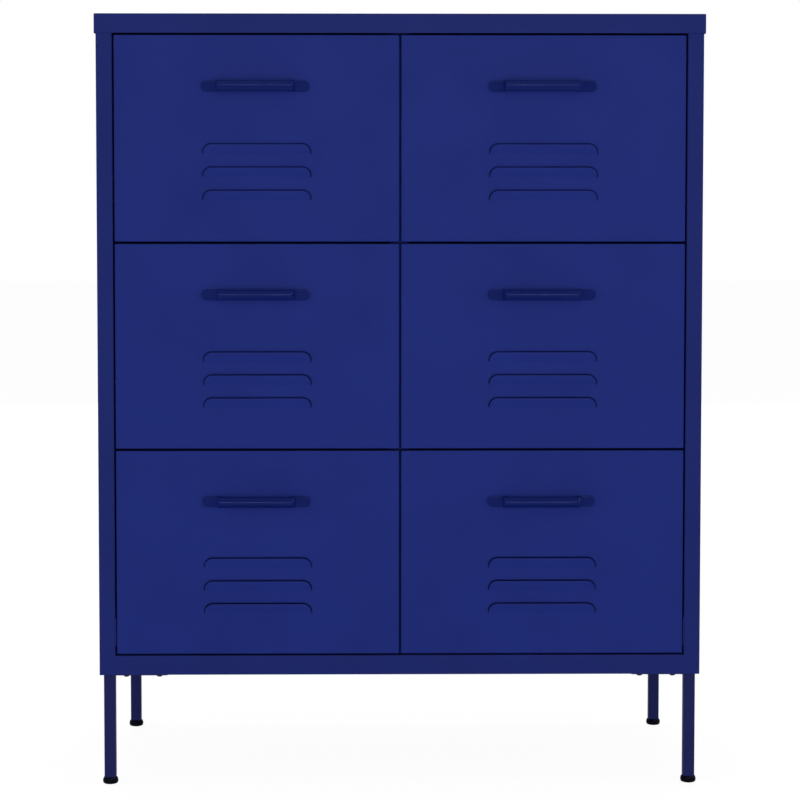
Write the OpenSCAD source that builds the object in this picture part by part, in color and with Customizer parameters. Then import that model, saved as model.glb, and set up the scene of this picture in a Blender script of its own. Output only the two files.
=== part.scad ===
// Steel drawer cabinet: two columns of three inset drawers on four slim square legs.
// Millimetres. +Z is up, +X is to the right, and the drawers open towards -Y.
// The origin is on the floor, under the middle of the cabinet's outer box.
// Every sheet piece is drawn as a folded section: a path along its outer face,
// thickened inwards, with a round fold at each corner.

/* [Case] */
// Width of the case, without the top panel's overhang
body_w = 796; // [640:1:1000]
// Depth of the case, without the top panel's overhang
body_d = 346; // [346:1:450]
// Height of the case, from its underside to the top of the top panel
body_h = 871; // [760:1:1100]
// How far the top panel stands out past the case, on every side
cap_over = 2; // [1.5:0.1:6]
// Height of the top panel's skirt
cap_h = 25.3; // [15:0.1:40]
// Width of the upright strip on each side of the drawers
stile_w = 21.2; // [20:0.1:35]
// Depth of the fold behind each upright strip
stile_return = 17; // [8:0.5:17]
// Height of the rail under the drawers
rail_h = 25.9; // [18:0.1:40]
// Depth of the fold at the top of the rail
rail_return = 14; // [8:0.5:14]
// Thickness of the case's sheet steel
sheet_t = 0.7; // [0.5:0.1:1]
// Inside radius of every fold
fold_r = 0.6; // [0.4:0.1:0.8]
// Width of the folds inside the case's back and top edges
flange_w = 15; // [12:0.5:20]
// Height of the folds around the floor
floor_flange = 20; // [12:1:30]
// Width of the hollow partition between the two columns
partition_w = 25; // [18:1:40]
// Width of the partition's rear folds
partition_lip = 8; // [6:0.5:8]

/* [Corner brackets] */
// Height of each lower corner bracket
bracket_h = 37; // [20:1:40]
// Height of a bracket above the rail
bracket_rise = 12.5; // [5:0.5:14]
// Thickness of a bracket
bracket_t = 1.2; // [1:0.1:1.4]
// Width of a bracket's rear wing
bracket_wing = 14; // [8:0.5:16]

/* [Legs] */
// Outer width of the square leg tube
leg_w = 15; // [14:0.5:22]
// Wall of the leg tube
leg_wall = 1.2; // [0.8:0.1:1.5]
// Outer corner radius of the leg tube
leg_corner = 1.8; // [1.6:0.1:2.5]
// Length of the leg tube
leg_len = 137; // [60:1:220]
// Distance from the case's sides to a leg's outer faces
leg_inset = 5; // [2:0.5:12]
// Thickness of the plate that a leg is welded to
plate_t = 1.5; // [1.2:0.1:3]
// Length of each arm of the leg plate
plate_arm = 86; // [82:1:110]
// Width of each arm of the leg plate
plate_w = 24; // [22:1:32]
// Distance from a leg's centre to its nearer screw
leg_screw_near = 22; // [20:1:26]
// Distance from a leg's centre to its farther screws
leg_screw_far = 66; // [50:1:70]

/* [Feet] */
// Diameter of a levelling foot
foot_d = 20.5; // [16:0.5:30]
// Height of a levelling foot's pad
foot_h = 9; // [7:0.5:14]
// Diameter of a foot's stud
stud_d = 8; // [6:0.5:8]
// Length of a foot's stud
stud_len = 26; // [24:1:40]
// Length of the threaded plug in the leg's end
insert_len = 18; // [14:1:24]

/* [Drawers] */
// Gap between the drawer fronts and the case
gap_edge = 2.2; // [2:0.1:3]
// Gap between one drawer front and the next below
gap_row = 2.8; // [2:0.1:5]
// Gap between the two columns of drawer fronts
gap_col = 2.6; // [1.5:0.1:5]
// Thickness of a folded drawer front
front_t = 16; // [12:0.5:16]
// Width of a drawer front's folds at its left and right
side_lip = 40; // [38:1:60]
// Height of a drawer front's folds at its top and bottom
edge_lip = 14; // [12:1:24]
// Thickness of the drawers' sheet steel
drawer_t = 0.6; // [0.5:0.1:0.8]
// Length of a drawer box
box_len = 305; // [302:1:322]
// Height of a drawer box
box_h = 180; // [120:1:180]
// Height of a drawer box above the lower edge of its front
box_rise = 8; // [4:0.5:10]
// Width of the fold along a drawer box's rim
rim_w = 8; // [5:0.5:12]

/* [Handles] */
// Overall length of a handle
handle_len = 142; // [136:1:180]
// Height of a handle
handle_h = 14; // [12:0.5:16]
// How far a handle stands out of the drawer front
handle_out = 19; // [17:0.5:30]
// Length of the straight grip at the handle's front
grip_len = 98; // [80:0.5:100]
// Thickness of the grip, from its ridge to its flat back
grip_t = 8; // [8:0.1:10]
// Length between the outer feet of the grip's bends
grip_base = 103; // [101:0.5:112]
// Radius of the grip's round shoulders
shoulder_r = 4; // [2:0.5:5]
// Thickness of a handle's end pads
pad_t = 3.5; // [3.2:0.1:4.5]
// Angle between the two faces of the grip's front, which meet in a ridge
ridge_angle = 90; // [90:1:120]
// Radius of the ridge
ridge_r = 3; // [2:0.1:4]
// Distance between a handle's two screws
handle_pitch = 128; // [124:1:130]
// Distance from a drawer front's top edge to the middle of its handle
handle_drop = 67; // [40:1:75]
// How far a handle sits to the left of its drawer's middle
handle_left = 1.8; // [0:0.1:5]

/* [Louvres] */
// Number of louvres in a drawer front
louvre_count = 3; // [1:1:4]
// Width of a louvre
louvre_w = 141; // [80:1:200]
// Height of a louvre, from its hinge line to its slit
louvre_h = 14; // [12:0.5:22]
// Distance from one louvre to the next
louvre_pitch = 30.3; // [26:0.1:36]
// Radius of a louvre's upper corners
louvre_r = 11; // [4:0.5:12]
// Width of the slit around a louvre
louvre_slit = 1.6; // [1:0.1:2.5]
// How far a louvre's lip stands out
louvre_out = 2.8; // [1:0.1:5]
// Distance from a drawer front's top edge to its first slit
louvre_drop = 142.2; // [110:0.1:150]

/* [Slides] */
// Length of a slide
slide_len = 300; // [290:1:300]
// Height of a slide
slide_h = 35; // [35:1:45]
// Thickness of a closed slide
slide_t = 12.5; // [12.5:0.1:13.5]
// Thickness of the slides' steel
slide_steel = 1.2; // [1:0.1:1.2]
// Height of a slide's middle above the lower edge of its drawer front
slide_rise = 70; // [70:1:150]
// How far a drawer opens
travel = 220; // [150:1:230]
// Diameter of the slides' balls
ball_d = 4.6; // [4:0.1:4.7]
// Number of balls along each side of a cage
ball_count = 5; // [3:1:6]
// Diameter of the rubber stops behind the drawer fronts
stop_d = 7; // [5:0.5:8]

/* [Wall fixing] */
// Diameter of the two wall-fixing holes in the back
anchor_d = 8; // [5:0.5:12]
// Distance between the wall-fixing holes
anchor_pitch = 600; // [300:1:600]
// Distance from the top to the wall-fixing holes
anchor_drop = 60; // [50:1:120]

/* [Hidden] */
$fn = 48;
eps = 0.05;
fold_steps = 4;
paint = [0.133, 0.176, 0.435];
gloss = [0.071, 0.106, 0.340];
zinc = [0.72, 0.73, 0.74];
black = [0.05, 0.05, 0.06];

row_names = ["top", "middle", "bottom"];
col_names = ["left", "right"];
rows = len(row_names);

// Heights and sides of the case
fold_clear = 0.5;
z_floor = foot_h + leg_len + plate_t;
z_top = z_floor + body_h;
z_open = z_floor + rail_h;
z_skirt = z_top - cap_h;
x_side = body_w / 2;
x_skin = x_side - sheet_t;
x_open = x_side - stile_w;
y_front = -(body_d + cap_over - handle_out) / 2;
y_back = y_front + body_d;
y_back_sheet = y_back - 2 * sheet_t;
y_mid = (y_front + y_back) / 2;

// Drawer fronts
front_w = x_open - gap_edge - gap_col / 2;
front_h = (z_skirt - z_open - 2 * gap_edge - (rows - 1) * gap_row) / rows;
x_front = -gap_col / 2 - front_w;
y_box = y_front + front_t;
box_clear = 1;
y_partition = y_box + box_clear;
function row_z(row) = z_open + gap_edge + (rows - 1 - row) * (front_h + gap_row);
function col_x(col) = (col == 0 ? -1 : 1) * (gap_col + front_w) / 2;
function handle_x(col) = col_x(col) - handle_left;

// Slides: distances out of the face that a slide's case half is welded to
member_in = 3;
box_gap = 2.5;
case_reach = slide_t - box_gap;
opening_clear = 0.8;
slide_gap = 3;
stop_gap = 0.3;
ball_room = 6.5;
member_half = slide_h / 2 - ball_room;
race_z = (slide_h / 2 - slide_steel + member_half) / 2;
race_u = (member_in + case_reach) / 2;
cage_t = 0.5;
cage_gap = 0.7;
cage_u = slide_steel + cage_gap;
cage_end = 2;
x_post = x_open - opening_clear + member_in;
x_box_out = -(x_post - slide_t);
x_box_in = -(partition_w / 2 + slide_t);
box_w = x_box_in - x_box_out;
y_slide = y_box + slide_gap;
member_len = slide_len - slide_steel - stop_gap;
cage_len = member_len - travel - 2 * cage_end;
post_w = 40;
post_lip = 10;
post_places = [30, 250];
post_clear = 1;

// Rubber stops on the partition's front, which the drawer fronts close against
stop_stem = 3;
stop_margin = 30;

// Fasteners: shank diameter, head diameter, head height
m5 = [5, 9.4, 3];
m4 = [4, 8, 1.7];
tapping = [3.5, 7, 1.6];
hole_play = 0.2;
nut_af = 8;
nut_h = 4;
running_fit = 0.1;
pad_skin = 0.5;
screw_end_gap = 0.3;
screw_past = 3;
seam = 0.05;
cut = 1;

case_nodes = ["top_panel", "side_panel_left", "side_panel_right", "back_panel", "bottom_panel",
    "centre_partition", "slide_posts", "corner_brackets", "case_slides_left", "case_slides_right",
    "drawer_stops", "case_screws", "leg_front_left", "leg_front_right", "leg_rear_left",
    "leg_rear_right", "leg_fasteners", "leg_inserts", "foot_front_left", "foot_front_right",
    "foot_rear_left", "foot_rear_right"];
drawer_kinds = ["front", "box", "handle", "screws", "slides", "cages"];
function drawer_node(kind, row, col) = str(kind, "_", row_names[row], "_", col_names[col]);

// ---- Folded sheet -------------------------------------------------------
function unit(v) = v / norm(v);
function left_of(v) = [-v[1], v[0]];
function turn(a, b, c) = (b[0] - a[0]) * (c[1] - b[1]) - (b[1] - a[1]) * (c[0] - b[0]);

// The points of a round corner of radius r at b, between a and c.
function corner(a, b, c, r) =
    let (u = unit(a - b), v = unit(c - b), half = acos(u * v) / 2,
        middle = b + unit(u + v) * r / sin(half),
        from = b + u * r / tan(half) - middle, to = b + v * r / tan(half) - middle,
        start = atan2(from[1], from[0]), sweep = atan2(to[1], to[0]) - start,
        swing = sweep > 180 ? sweep - 360 : sweep < -180 ? sweep + 360 : sweep)
    [for (i = [0:fold_steps])
        middle + r * [cos(start + swing * i / fold_steps), sin(start + swing * i / fold_steps)]];

// The sheet's far face: the path moved t to its left.
function far_face(p, t) = [for (i = [0:len(p) - 1])
    i == 0 ? p[0] + t * left_of(unit(p[1] - p[0]))
    : i == len(p) - 1 ? p[i] + t * left_of(unit(p[i] - p[i - 1]))
    : let (a = unit(p[i] - p[i - 1]), b = unit(p[i + 1] - p[i]))
        p[i] + t * (left_of(a) + left_of(b)) / (1 + a * b)];

// A path with its inner corners rounded. A left turn has radius r_left, a right turn r_right.
function round_path(p, r_left, r_right) = [for (i = [0:len(p) - 1])
    each (i == 0 || i == len(p) - 1) ? [p[i]]
    : corner(p[i - 1], p[i], p[i + 1], turn(p[i - 1], p[i], p[i + 1]) > 0 ? r_left : r_right)];

// A closed outline with its own radius at each corner, 0 for a sharp one.
function round_outline(p, radii) = let (n = len(p)) [for (i = [0:n - 1])
    each radii[i] == 0 ? [p[i]] : corner(p[(i + n - 1) % n], p[i], p[(i + 1) % n], radii[i])];

function reversed(p) = [for (i = [len(p) - 1:-1:0]) p[i]];

// The section of a sheet of thickness t folded along a path on its outer face.
module sheet_section(path, t) {
    near = round_path(path, fold_r + t, fold_r);
    far = round_path(far_face(path, t), fold_r, fold_r + t);
    polygon(concat(near, reversed(far)));
}

// Extrusions along X and Y. A section's own axes become Y and Z, or X and Z.
module along_x(x0, x1) {
    translate([x0, 0, 0]) rotate([90, 0, 90]) linear_extrude(x1 - x0) children();
}

module along_y(y0, y1) {
    translate([0, y1, 0]) rotate([90, 0, 0]) linear_extrude(y1 - y0) children();
}

module block(low, high) {
    translate(low) cube(high - low);
}

// A block whose edges towards -Y are round, as the face of a folded pan is.
module pan_block(low, high, r) {
    intersection() {
        translate([0, 0, low[2]]) linear_extrude(high[2] - low[2])
            polygon(round_outline([[low[0], low[1]], [high[0], low[1]],
                [high[0], high[1]], [low[0], high[1]]], [r, r, 0, 0]));
        along_x(low[0], high[0])
            polygon(round_outline([[low[1], low[2]], [high[1], low[2]],
                [high[1], high[2]], [low[1], high[2]]], [r, 0, 0, r]));
    }
}

// ---- Placing ------------------------------------------------------------
// The right-hand column is the left-hand one mirrored.
module in_drawer(row, col) {
    translate([0, 0, row_z(row)]) mirror([col, 0, 0]) children();
}

// On each side of a left-hand drawer: X runs from the case's slide towards the drawer.
module on_both_slides() {
    translate([-x_post, y_slide, slide_rise]) children();
    translate([-partition_w / 2, y_slide, slide_rise]) mirror([1, 0, 0]) children();
}

// From a lower corner of the case: X and Y run inwards from its two outer faces.
module at_corner(right, rear) {
    translate([0, y_mid, 0]) mirror([right, 0, 0]) mirror([0, rear, 0])
        translate([-x_side, -body_d / 2, 0]) children();
}

module at_corners() {
    for (right = [0, 1], rear = [0, 1]) at_corner(right, rear) children();
}

// ---- Fasteners ----------------------------------------------------------
// A crosshead screw whose head stands above Z = 0 and whose shank goes down.
module screw(kind, length) {
    head_r = kind[1] / 2;
    head_h = kind[2];
    slot = kind[1] * 0.12;
    difference() {
        union() {
            rotate_extrude() polygon([[0, 0], [head_r, 0], [head_r, 0.35 * head_h],
                [0.8 * head_r, 0.8 * head_h], [0.45 * head_r, head_h], [0, head_h]]);
            translate([0, 0, -length]) cylinder(d = kind[0], h = length);
        }
        for (a = [0, 90]) rotate([0, 0, a])
            translate([-head_r / 2, -slot / 2, head_h / 2]) cube([head_r, slot, head_h]);
    }
}

module hex_nut(bore) {
    difference() {
        cylinder(d = nut_af / cos(30), h = nut_h, $fn = 6);
        translate([0, 0, -eps]) cylinder(d = bore, h = nut_h + 2 * eps);
    }
}

// ---- Case ---------------------------------------------------------------
module top_panel() {
    x1 = x_side + cap_over;
    y0 = y_front - cap_over;
    y1 = y_back + cap_over;
    color(paint) difference() {
        cap_block([-x1, y0, z_skirt], [x1, y1, z_top], fold_r + sheet_t);
        cap_block([-x1 + sheet_t, y0 + sheet_t, z_skirt - 1],
            [x1 - sheet_t, y1 - sheet_t, z_top - sheet_t], fold_r);
    }
}

// A block whose upper edges are round, as a folded lid's are.
module cap_block(low, high, r) {
    intersection() {
        along_x(low[0], high[0])
            polygon(round_outline([[low[1], low[2]], [high[1], low[2]],
                [high[1], high[2]], [low[1], high[2]]], [0, 0, r, r]));
        along_y(low[1], high[1])
            polygon(round_outline([[low[0], low[2]], [high[0], low[2]],
                [high[0], high[2]], [low[0], high[2]]], [0, 0, r, r]));
    }
}

// Skin, front strip with its fold, rear fold and top fold.
module side_panel() {
    color(paint) difference() {
        union() {
            translate([0, 0, z_floor]) linear_extrude(body_h - sheet_t)
                sheet_section([[-x_side + flange_w, y_back], [-x_side, y_back], [-x_side, y_front],
                    [-x_open, y_front], [-x_open, y_front + stile_return]], sheet_t);
            block([-x_skin - sheet_t / 2, y_front + stile_return + fold_clear, z_top - 2 * sheet_t],
                [-x_side + flange_w, y_back_sheet, z_top - sheet_t]);
        }
        side_screw_places() tapping_hole();
    }
}

// Places of the screws through the left side's rear fold, heads to the rear.
side_screws = 4;
screw_margin = 45;
function spread(i, n, low, high) = low + (high - low) * i / (n - 1);

module side_screw_places() {
    for (i = [0:side_screws - 1])
        translate([-x_side + flange_w / 2, y_back,
            spread(i, side_screws, z_floor + screw_margin, z_top - screw_margin)])
            rotate([-90, 0, 0]) children();
}

// Places of the screws through the back sheet into the floor's and the partition's folds.
module back_screw_places() {
    for (x = [-x_side / 2, x_side / 2])
        translate([x, y_back - sheet_t, z_floor + floor_flange / 2]) rotate([-90, 0, 0]) children();
    for (x = [-1, 1] * (partition_w - partition_lip) / 2,
        z = [z_floor + screw_margin, (z_floor + z_top) / 2, z_top - screw_margin])
        translate([x, y_back - sheet_t, z]) rotate([-90, 0, 0]) children();
}

module tapping_hole() {
    translate([0, 0, -3 * sheet_t - cut])
        cylinder(d = tapping[0] + hole_play, h = 3 * sheet_t + 2 * cut);
}

module both_sides() {
    children();
    mirror([1, 0, 0]) children();
}

module back_panel() {
    back_play = 0.4;
    color(paint) difference() {
        block([-x_skin + back_play, y_back_sheet, z_floor],
            [x_skin - back_play, y_back - sheet_t, z_top - sheet_t]);
        both_sides() side_screw_places() tapping_hole();
        back_screw_places() tapping_hole();
        for (side = [-1, 1])
            translate([side * anchor_pitch / 2, y_back, z_top - anchor_drop])
                rotate([90, 0, 0]) cylinder(d = anchor_d, h = 3 * sheet_t);
    }
}

// Floor with the front rail folded up and over, and folds up its sides and back.
module bottom_panel() {
    rail_lip = 10;
    behind_stile = y_front + stile_return + fold_clear;
    color(paint) difference() {
        union() {
            along_x(-x_open, x_open)
                sheet_section([[y_front + rail_return, z_open - rail_lip],
                    [y_front + rail_return, z_open], [y_front, z_open], [y_front, z_floor],
                    [y_back_sheet, z_floor], [y_back_sheet, z_floor + floor_flange]], sheet_t);
            along_y(behind_stile, y_back_sheet)
                sheet_section([[-x_skin, z_floor + floor_flange], [-x_skin, z_floor],
                    [x_skin, z_floor], [x_skin, z_floor + floor_flange]], sheet_t);
        }
        at_corners() leg_screw_places()
            translate([0, 0, -cut]) cylinder(d = m5[0] + hole_play, h = sheet_t + 2 * cut);
        back_screw_places() tapping_hole();
    }
}

module centre_partition() {
    half = partition_w / 2;
    color(paint) difference() {
        translate([0, 0, z_floor + sheet_t]) linear_extrude(body_h - 2 * sheet_t)
            sheet_section([[-half + partition_lip, y_back_sheet], [-half, y_back_sheet],
                [-half, y_partition], [half, y_partition], [half, y_back_sheet],
                [half - partition_lip, y_back_sheet]], sheet_t);
        back_screw_places() tapping_hole();
        // Room for the floor's rear fold
        block([-half - cut, y_back_sheet - 2 * sheet_t, z_floor],
            [half + cut, y_back, z_floor + floor_flange + fold_clear]);
        stop_places() translate([0, 0, -sheet_t - cut])
            cylinder(d = stop_stem + hole_play, h = sheet_t + 2 * cut);
    }
}

// Hat-shaped posts on the sides' inner faces, which carry the outer slides.
module slide_posts() {
    x_wall = -x_skin;
    x_face = -x_post - sheet_t;
    color(paint) both_sides() for (place = post_places)
        translate([0, y_front + place, z_floor + floor_flange + post_clear])
            linear_extrude(body_h - floor_flange - 2 * sheet_t - 2 * post_clear)
                sheet_section([[x_wall, post_w + post_lip], [x_wall, post_w], [x_face, post_w],
                    [x_face, 0], [x_wall, 0], [x_wall, -post_lip]], sheet_t);
}

// Brackets hooked round the upright strips' folds, seen in the lower side gaps.
module corner_brackets() {
    set_back = 0.6;
    hook_gap = 0.3;
    y1 = y_front + stile_return + hook_gap;
    color(paint) both_sides() {
        translate([0, 0, z_open + bracket_rise]) linear_extrude(bracket_h) {
            translate([-x_open, y_front + set_back])
                square([bracket_t, y1 + bracket_t - y_front - set_back]);
            translate([-x_open - bracket_wing, y1]) square([bracket_wing + bracket_t, bracket_t]);
        }
    }
}

// ---- Legs and feet ------------------------------------------------------
leg_c = leg_inset + leg_w / 2;

module round_square(w, r) {
    square([w, w - 2 * r], center = true);
    square([w - 2 * r, w], center = true);
    for (x = [-1, 1], y = [-1, 1]) translate([x, y] * (w / 2 - r)) circle(r);
}

// Screw places in a leg's plate, from the case's corner, at the plate's upper face.
module leg_screw_places() {
    for (p = [[leg_screw_near, 0], [leg_screw_far, 0], [0, leg_screw_far]])
        translate([leg_c + p[0], leg_c + p[1], z_floor]) children();
}

module leg() {
    color(paint) {
        translate([leg_c, leg_c, foot_h]) linear_extrude(leg_len) difference() {
            round_square(leg_w, leg_corner);
            round_square(leg_w - 2 * leg_wall, leg_corner - leg_wall);
        }
        difference() {
            translate([leg_inset, leg_inset, z_floor - plate_t]) {
                cube([plate_arm, plate_w, plate_t]);
                cube([plate_w, plate_arm, plate_t]);
            }
            leg_screw_places() translate([0, 0, -plate_t - cut])
                cylinder(d = m5[0] + hole_play, h = plate_t + 2 * cut);
        }
    }
}

module leg_fasteners() {
    past_nut = 1.5;
    color(black) at_corners() leg_screw_places() {
        translate([0, 0, -plate_t]) rotate([180, 0, 0])
            screw(m5, plate_t + sheet_t + nut_h + past_nut);
        translate([0, 0, sheet_t]) hex_nut(m5[0] + running_fit);
    }
}

// Square plugs in the tube ends, bored for the feet's studs.
module leg_inserts() {
    plug = leg_w - 2 * leg_wall - running_fit;
    color(black) at_corners() translate([leg_c, leg_c, foot_h]) difference() {
        linear_extrude(insert_len) round_square(plug, leg_corner - leg_wall);
        translate([0, 0, -cut]) cylinder(d = stud_d + running_fit, h = insert_len + 2 * cut);
    }
}

// A round pad with a stud that screws into the leg's plug.
module foot() {
    r = foot_d / 2;
    color(black) translate([leg_c, leg_c, 0]) {
        rotate_extrude() polygon([[0, 0], [0.74 * r, 0], [0.93 * r, 0.16 * foot_h],
            [r, 0.42 * foot_h], [0.98 * r, 0.64 * foot_h], [0.88 * r, 0.88 * foot_h],
            [0.76 * r, foot_h], [0, foot_h]]);
        cylinder(d = stud_d, h = foot_h + stud_len);
    }
}

// ---- Slides -------------------------------------------------------------
// The half that is welded to the case, with X out of the case, and its rear stop.
module case_half() {
    half = slide_h / 2;
    stop_half = member_half + 1;
    color(zinc) {
        along_y(0, slide_len) difference() {
            translate([0, -half]) square([case_reach, slide_h]);
            translate([slide_steel, -half + slide_steel])
                square([case_reach, slide_h - 2 * slide_steel]);
        }
        block([0, slide_len - slide_steel, -stop_half], [case_reach, slide_len, stop_half]);
    }
}

// The half that is screwed to the drawer box.
module drawer_half() {
    color(zinc) difference() {
        along_y(0, member_len) difference() {
            translate([member_in, -member_half]) square([slide_t - member_in, 2 * member_half]);
            translate([member_in - cut, -member_half + slide_steel])
                square([slide_t - member_in - slide_steel + cut, 2 * (member_half - slide_steel)]);
        }
        slide_screw_places() translate([0, 0, -slide_steel - cut])
            cylinder(d = m4[0] + hole_play, h = slide_steel + 2 * cut);
    }
}

// Places of the screws through a box's wall into its slide, heads inside the box.
module slide_screw_places() {
    from_front = 40;
    from_rear = 50;
    for (y = [from_front, slide_len - from_rear])
        translate([slide_t, y, 0]) rotate([0, 90, 0]) children();
}

// A strip of balls between the two halves, which runs half as far as the drawer.
module ball_cage() {
    ball_rim = 0.8;
    ball_play = 0.4;
    reach = race_u + ball_d / 2 + ball_rim;
    pitch = cage_len / ball_count;
    translate([0, cage_end + travel / 2, 0]) {
        color(zinc) difference() {
            union() {
                block([cage_u, 0, -race_z - cage_t / 2], [cage_u + cage_t, cage_len, race_z + cage_t / 2]);
                for (side = [-1, 1])
                    block([cage_u, 0, side * race_z - cage_t / 2],
                        [reach, cage_len, side * race_z + cage_t / 2]);
            }
            for (side = [-1, 1], i = [0:ball_count - 1])
                translate([race_u, (i + 0.5) * pitch, side * race_z])
                    cylinder(d = ball_d + ball_play, h = 4 * cage_t, center = true);
        }
        color(zinc) for (side = [-1, 1], i = [0:ball_count - 1])
            translate([race_u, (i + 0.5) * pitch, side * race_z]) sphere(d = ball_d);
    }
}

module case_slides(col) {
    for (row = [0:rows - 1]) in_drawer(row, col) on_both_slides() case_half();
}

module stop_places() {
    from_gap = 2;
    for (row = [0:rows - 1], col = [0, 1], z = [stop_margin, front_h - stop_margin])
        in_drawer(row, col) translate([-(gap_col + stop_d) / 2 - from_gap, y_partition, z])
            rotate([90, 0, 0]) children();
}

module drawer_stops() {
    stem_len = 3;
    color(black) stop_places() {
        cylinder(d = stop_d, h = box_clear - stop_gap);
        translate([0, 0, -stem_len]) cylinder(d = stop_stem, h = stem_len);
    }
}

module case_screws() {
    color(zinc) {
        both_sides() side_screw_places() screw(tapping, 2 * sheet_t + screw_past);
        back_screw_places() screw(tapping, 2 * sheet_t + screw_past);
    }
}

// ---- Drawers ------------------------------------------------------------
// An upright shape whose upper corners are round, centred on X and standing on Z = 0.
module arch(w, h, r) {
    translate([-w / 2, 0]) square([w, h - r]);
    translate([-w / 2 + r, 0]) square([w - 2 * r, h]);
    for (side = [-1, 1]) translate([side * (w / 2 - r), h - r]) circle(r);
}

// Places of the louvres' hinge lines on a left-hand drawer front.
module louvre_places() {
    for (i = [0:louvre_count - 1])
        translate([col_x(0), y_front, front_h - louvre_drop - i * louvre_pitch - louvre_h])
            children();
}

// A flap cut free along its top and rounded corners, and pressed outwards there.
module louvre_flap() {
    rooted = 1;
    lean = asin(louvre_out / louvre_h);
    rotate([lean, 0, 0]) {
        along_y(0, drawer_t)
            arch(louvre_w - 2 * louvre_slit, louvre_h - louvre_slit, louvre_r - louvre_slit);
        block([-louvre_w / 2 + louvre_slit, 0, -rooted],
            [louvre_w / 2 - louvre_slit, drawer_t, eps]);
    }
}

module drawer_front(row, col) {
    low = [x_front, y_front, 0];
    high = [x_front + front_w, y_box, front_h];
    wall = [drawer_t, drawer_t, drawer_t];
    hole = m4[0] + hole_play;
    color(paint) in_drawer(row, col) difference() {
        union() {
            difference() {
                pan_block(low, high, fold_r + drawer_t);
                pan_block(low + wall, high - wall, fold_r);
                block([low[0] + side_lip, y_box - drawer_t - cut, edge_lip],
                    [high[0] - side_lip, y_box + cut, front_h - edge_lip]);
                louvre_places() along_y(-cut, drawer_t + cut) arch(louvre_w, louvre_h, louvre_r);
            }
            louvre_places() louvre_flap();
        }
        handle_screw_places(col) translate([0, 0, -cut]) cylinder(d = hole, h = drawer_t + 2 * cut);
        box_screw_places() translate([0, 0, -drawer_t - cut])
            cylinder(d = hole, h = drawer_t + 2 * cut);
    }
}

// Places of the handle's screws in the mirrored drawer, heads behind the front's skin.
module handle_screw_places(col) {
    x = col == 0 ? handle_x(0) : -handle_x(1);
    for (side = [-1, 1])
        translate([x + side * handle_pitch / 2, y_front, front_h - handle_drop])
            rotate([-90, 0, 0]) children();
}

// Places of the screws that hold the box to the front's folds, heads inside the box.
module box_screw_places() {
    from_side = 9;
    from_edge = 30;
    for (x = [x_box_out + from_side, x_box_in - from_side],
        z = [box_rise + from_edge, box_rise + box_h - from_edge])
        translate([x, y_box, z]) rotate([-90, 0, 0]) children();
}

// Floor, four walls and four rim strips, each a sheet of its own that is welded to the next
// along a hairline seam.
module box_sheets() {
    t = drawer_t;
    rim = rim_w + t;
    wall_h = box_h - 2 * (t + seam);
    cube([box_w, box_len, t]);
    for (x = [0, box_w - t]) translate([x, 0, t + seam]) cube([t, box_len, wall_h]);
    for (y = [0, box_len - t]) translate([t + seam, y, t + seam])
        cube([box_w - 2 * (t + seam), t, wall_h]);
    for (x = [0, box_w - rim]) translate([x, 0, box_h - t]) cube([rim, box_len, t]);
    for (y = [0, box_len - rim]) translate([rim + seam, y, box_h - t])
        cube([box_w - 2 * (rim + seam), rim, t]);
}

module drawer_box(row, col) {
    hole = m4[0] + hole_play;
    color(paint) in_drawer(row, col) difference() {
        translate([x_box_out, y_box, box_rise]) box_sheets();
        box_screw_places() translate([0, 0, -cut]) cylinder(d = hole, h = drawer_t + 2 * cut);
        on_both_slides() slide_screw_places() translate([0, 0, -cut])
            cylinder(d = hole, h = drawer_t + 2 * cut);
    }
}

// A bar bent out between two end pads, with a ridge along its front and round ends.
module drawer_handle(row, col) {
    end = handle_len / 2;
    base = grip_base / 2;
    grip = grip_len / 2;
    // Inner face of the bends: the outer face moved in by the grip's thickness.
    slope = unit([base - grip, handle_out - pad_t]);
    inner_top = grip - grip_t * (1 - slope[0]) / slope[1];
    inner_base = inner_top + (handle_out - grip_t) * slope[0] / slope[1];
    foot_r = 3;
    right = [[end, 0], [end, pad_t], [base, pad_t], [grip, handle_out]];
    left = [[-grip, handle_out], [-base, pad_t], [-end, pad_t], [-end, 0]];
    inside = [[-inner_base, 0], [-inner_top, handle_out - grip_t],
        [inner_top, handle_out - grip_t], [inner_base, 0]];
    radii = [0, 0, foot_r, shoulder_r, shoulder_r, foot_r, 0, 0, 0, foot_r / 2, foot_r / 2, 0];
    // The two faces would meet this far in front of the rounded ridge, and end at the grip's edges.
    apex = handle_out + ridge_r * (1 / sin(ridge_angle / 2) - 1);
    edge = apex - handle_h / 2 / tan(ridge_angle / 2);
    color(gloss) translate([handle_x(col), y_front, row_z(row) + front_h - handle_drop])
        difference() {
            intersection() {
                translate([0, 0, -handle_h / 2]) linear_extrude(handle_h) mirror([0, 1, 0])
                    polygon(round_outline(concat(right, left, inside), radii));
                along_y(-handle_out - cut, cut) {
                    square([handle_len - handle_h, handle_h], center = true);
                    for (side = [-1, 1])
                        translate([side * (handle_len - handle_h) / 2, 0]) circle(d = handle_h);
                }
                along_x(-end, end)
                    polygon(round_outline([[-apex, 0], [-edge, -handle_h / 2], [cut, -handle_h / 2],
                        [cut, handle_h / 2], [-edge, handle_h / 2]], [ridge_r, 0, 0, 0, 0]));
            }
            for (side = [-1, 1]) translate([side * handle_pitch / 2, cut, 0]) rotate([90, 0, 0])
                cylinder(d = m4[0] + running_fit, h = cut + pad_t - pad_skin);
        }
}

module drawer_screws(row, col) {
    past_slide = 1;
    color(zinc) in_drawer(row, col) {
        handle_screw_places(col) translate([0, 0, drawer_t])
            screw(m4, drawer_t + pad_t - pad_skin - screw_end_gap);
        box_screw_places() translate([0, 0, drawer_t]) screw(m4, 2 * drawer_t + screw_past);
        on_both_slides() slide_screw_places() translate([0, 0, drawer_t])
            screw(m4, drawer_t + slide_steel + past_slide);
    }
}

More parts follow.
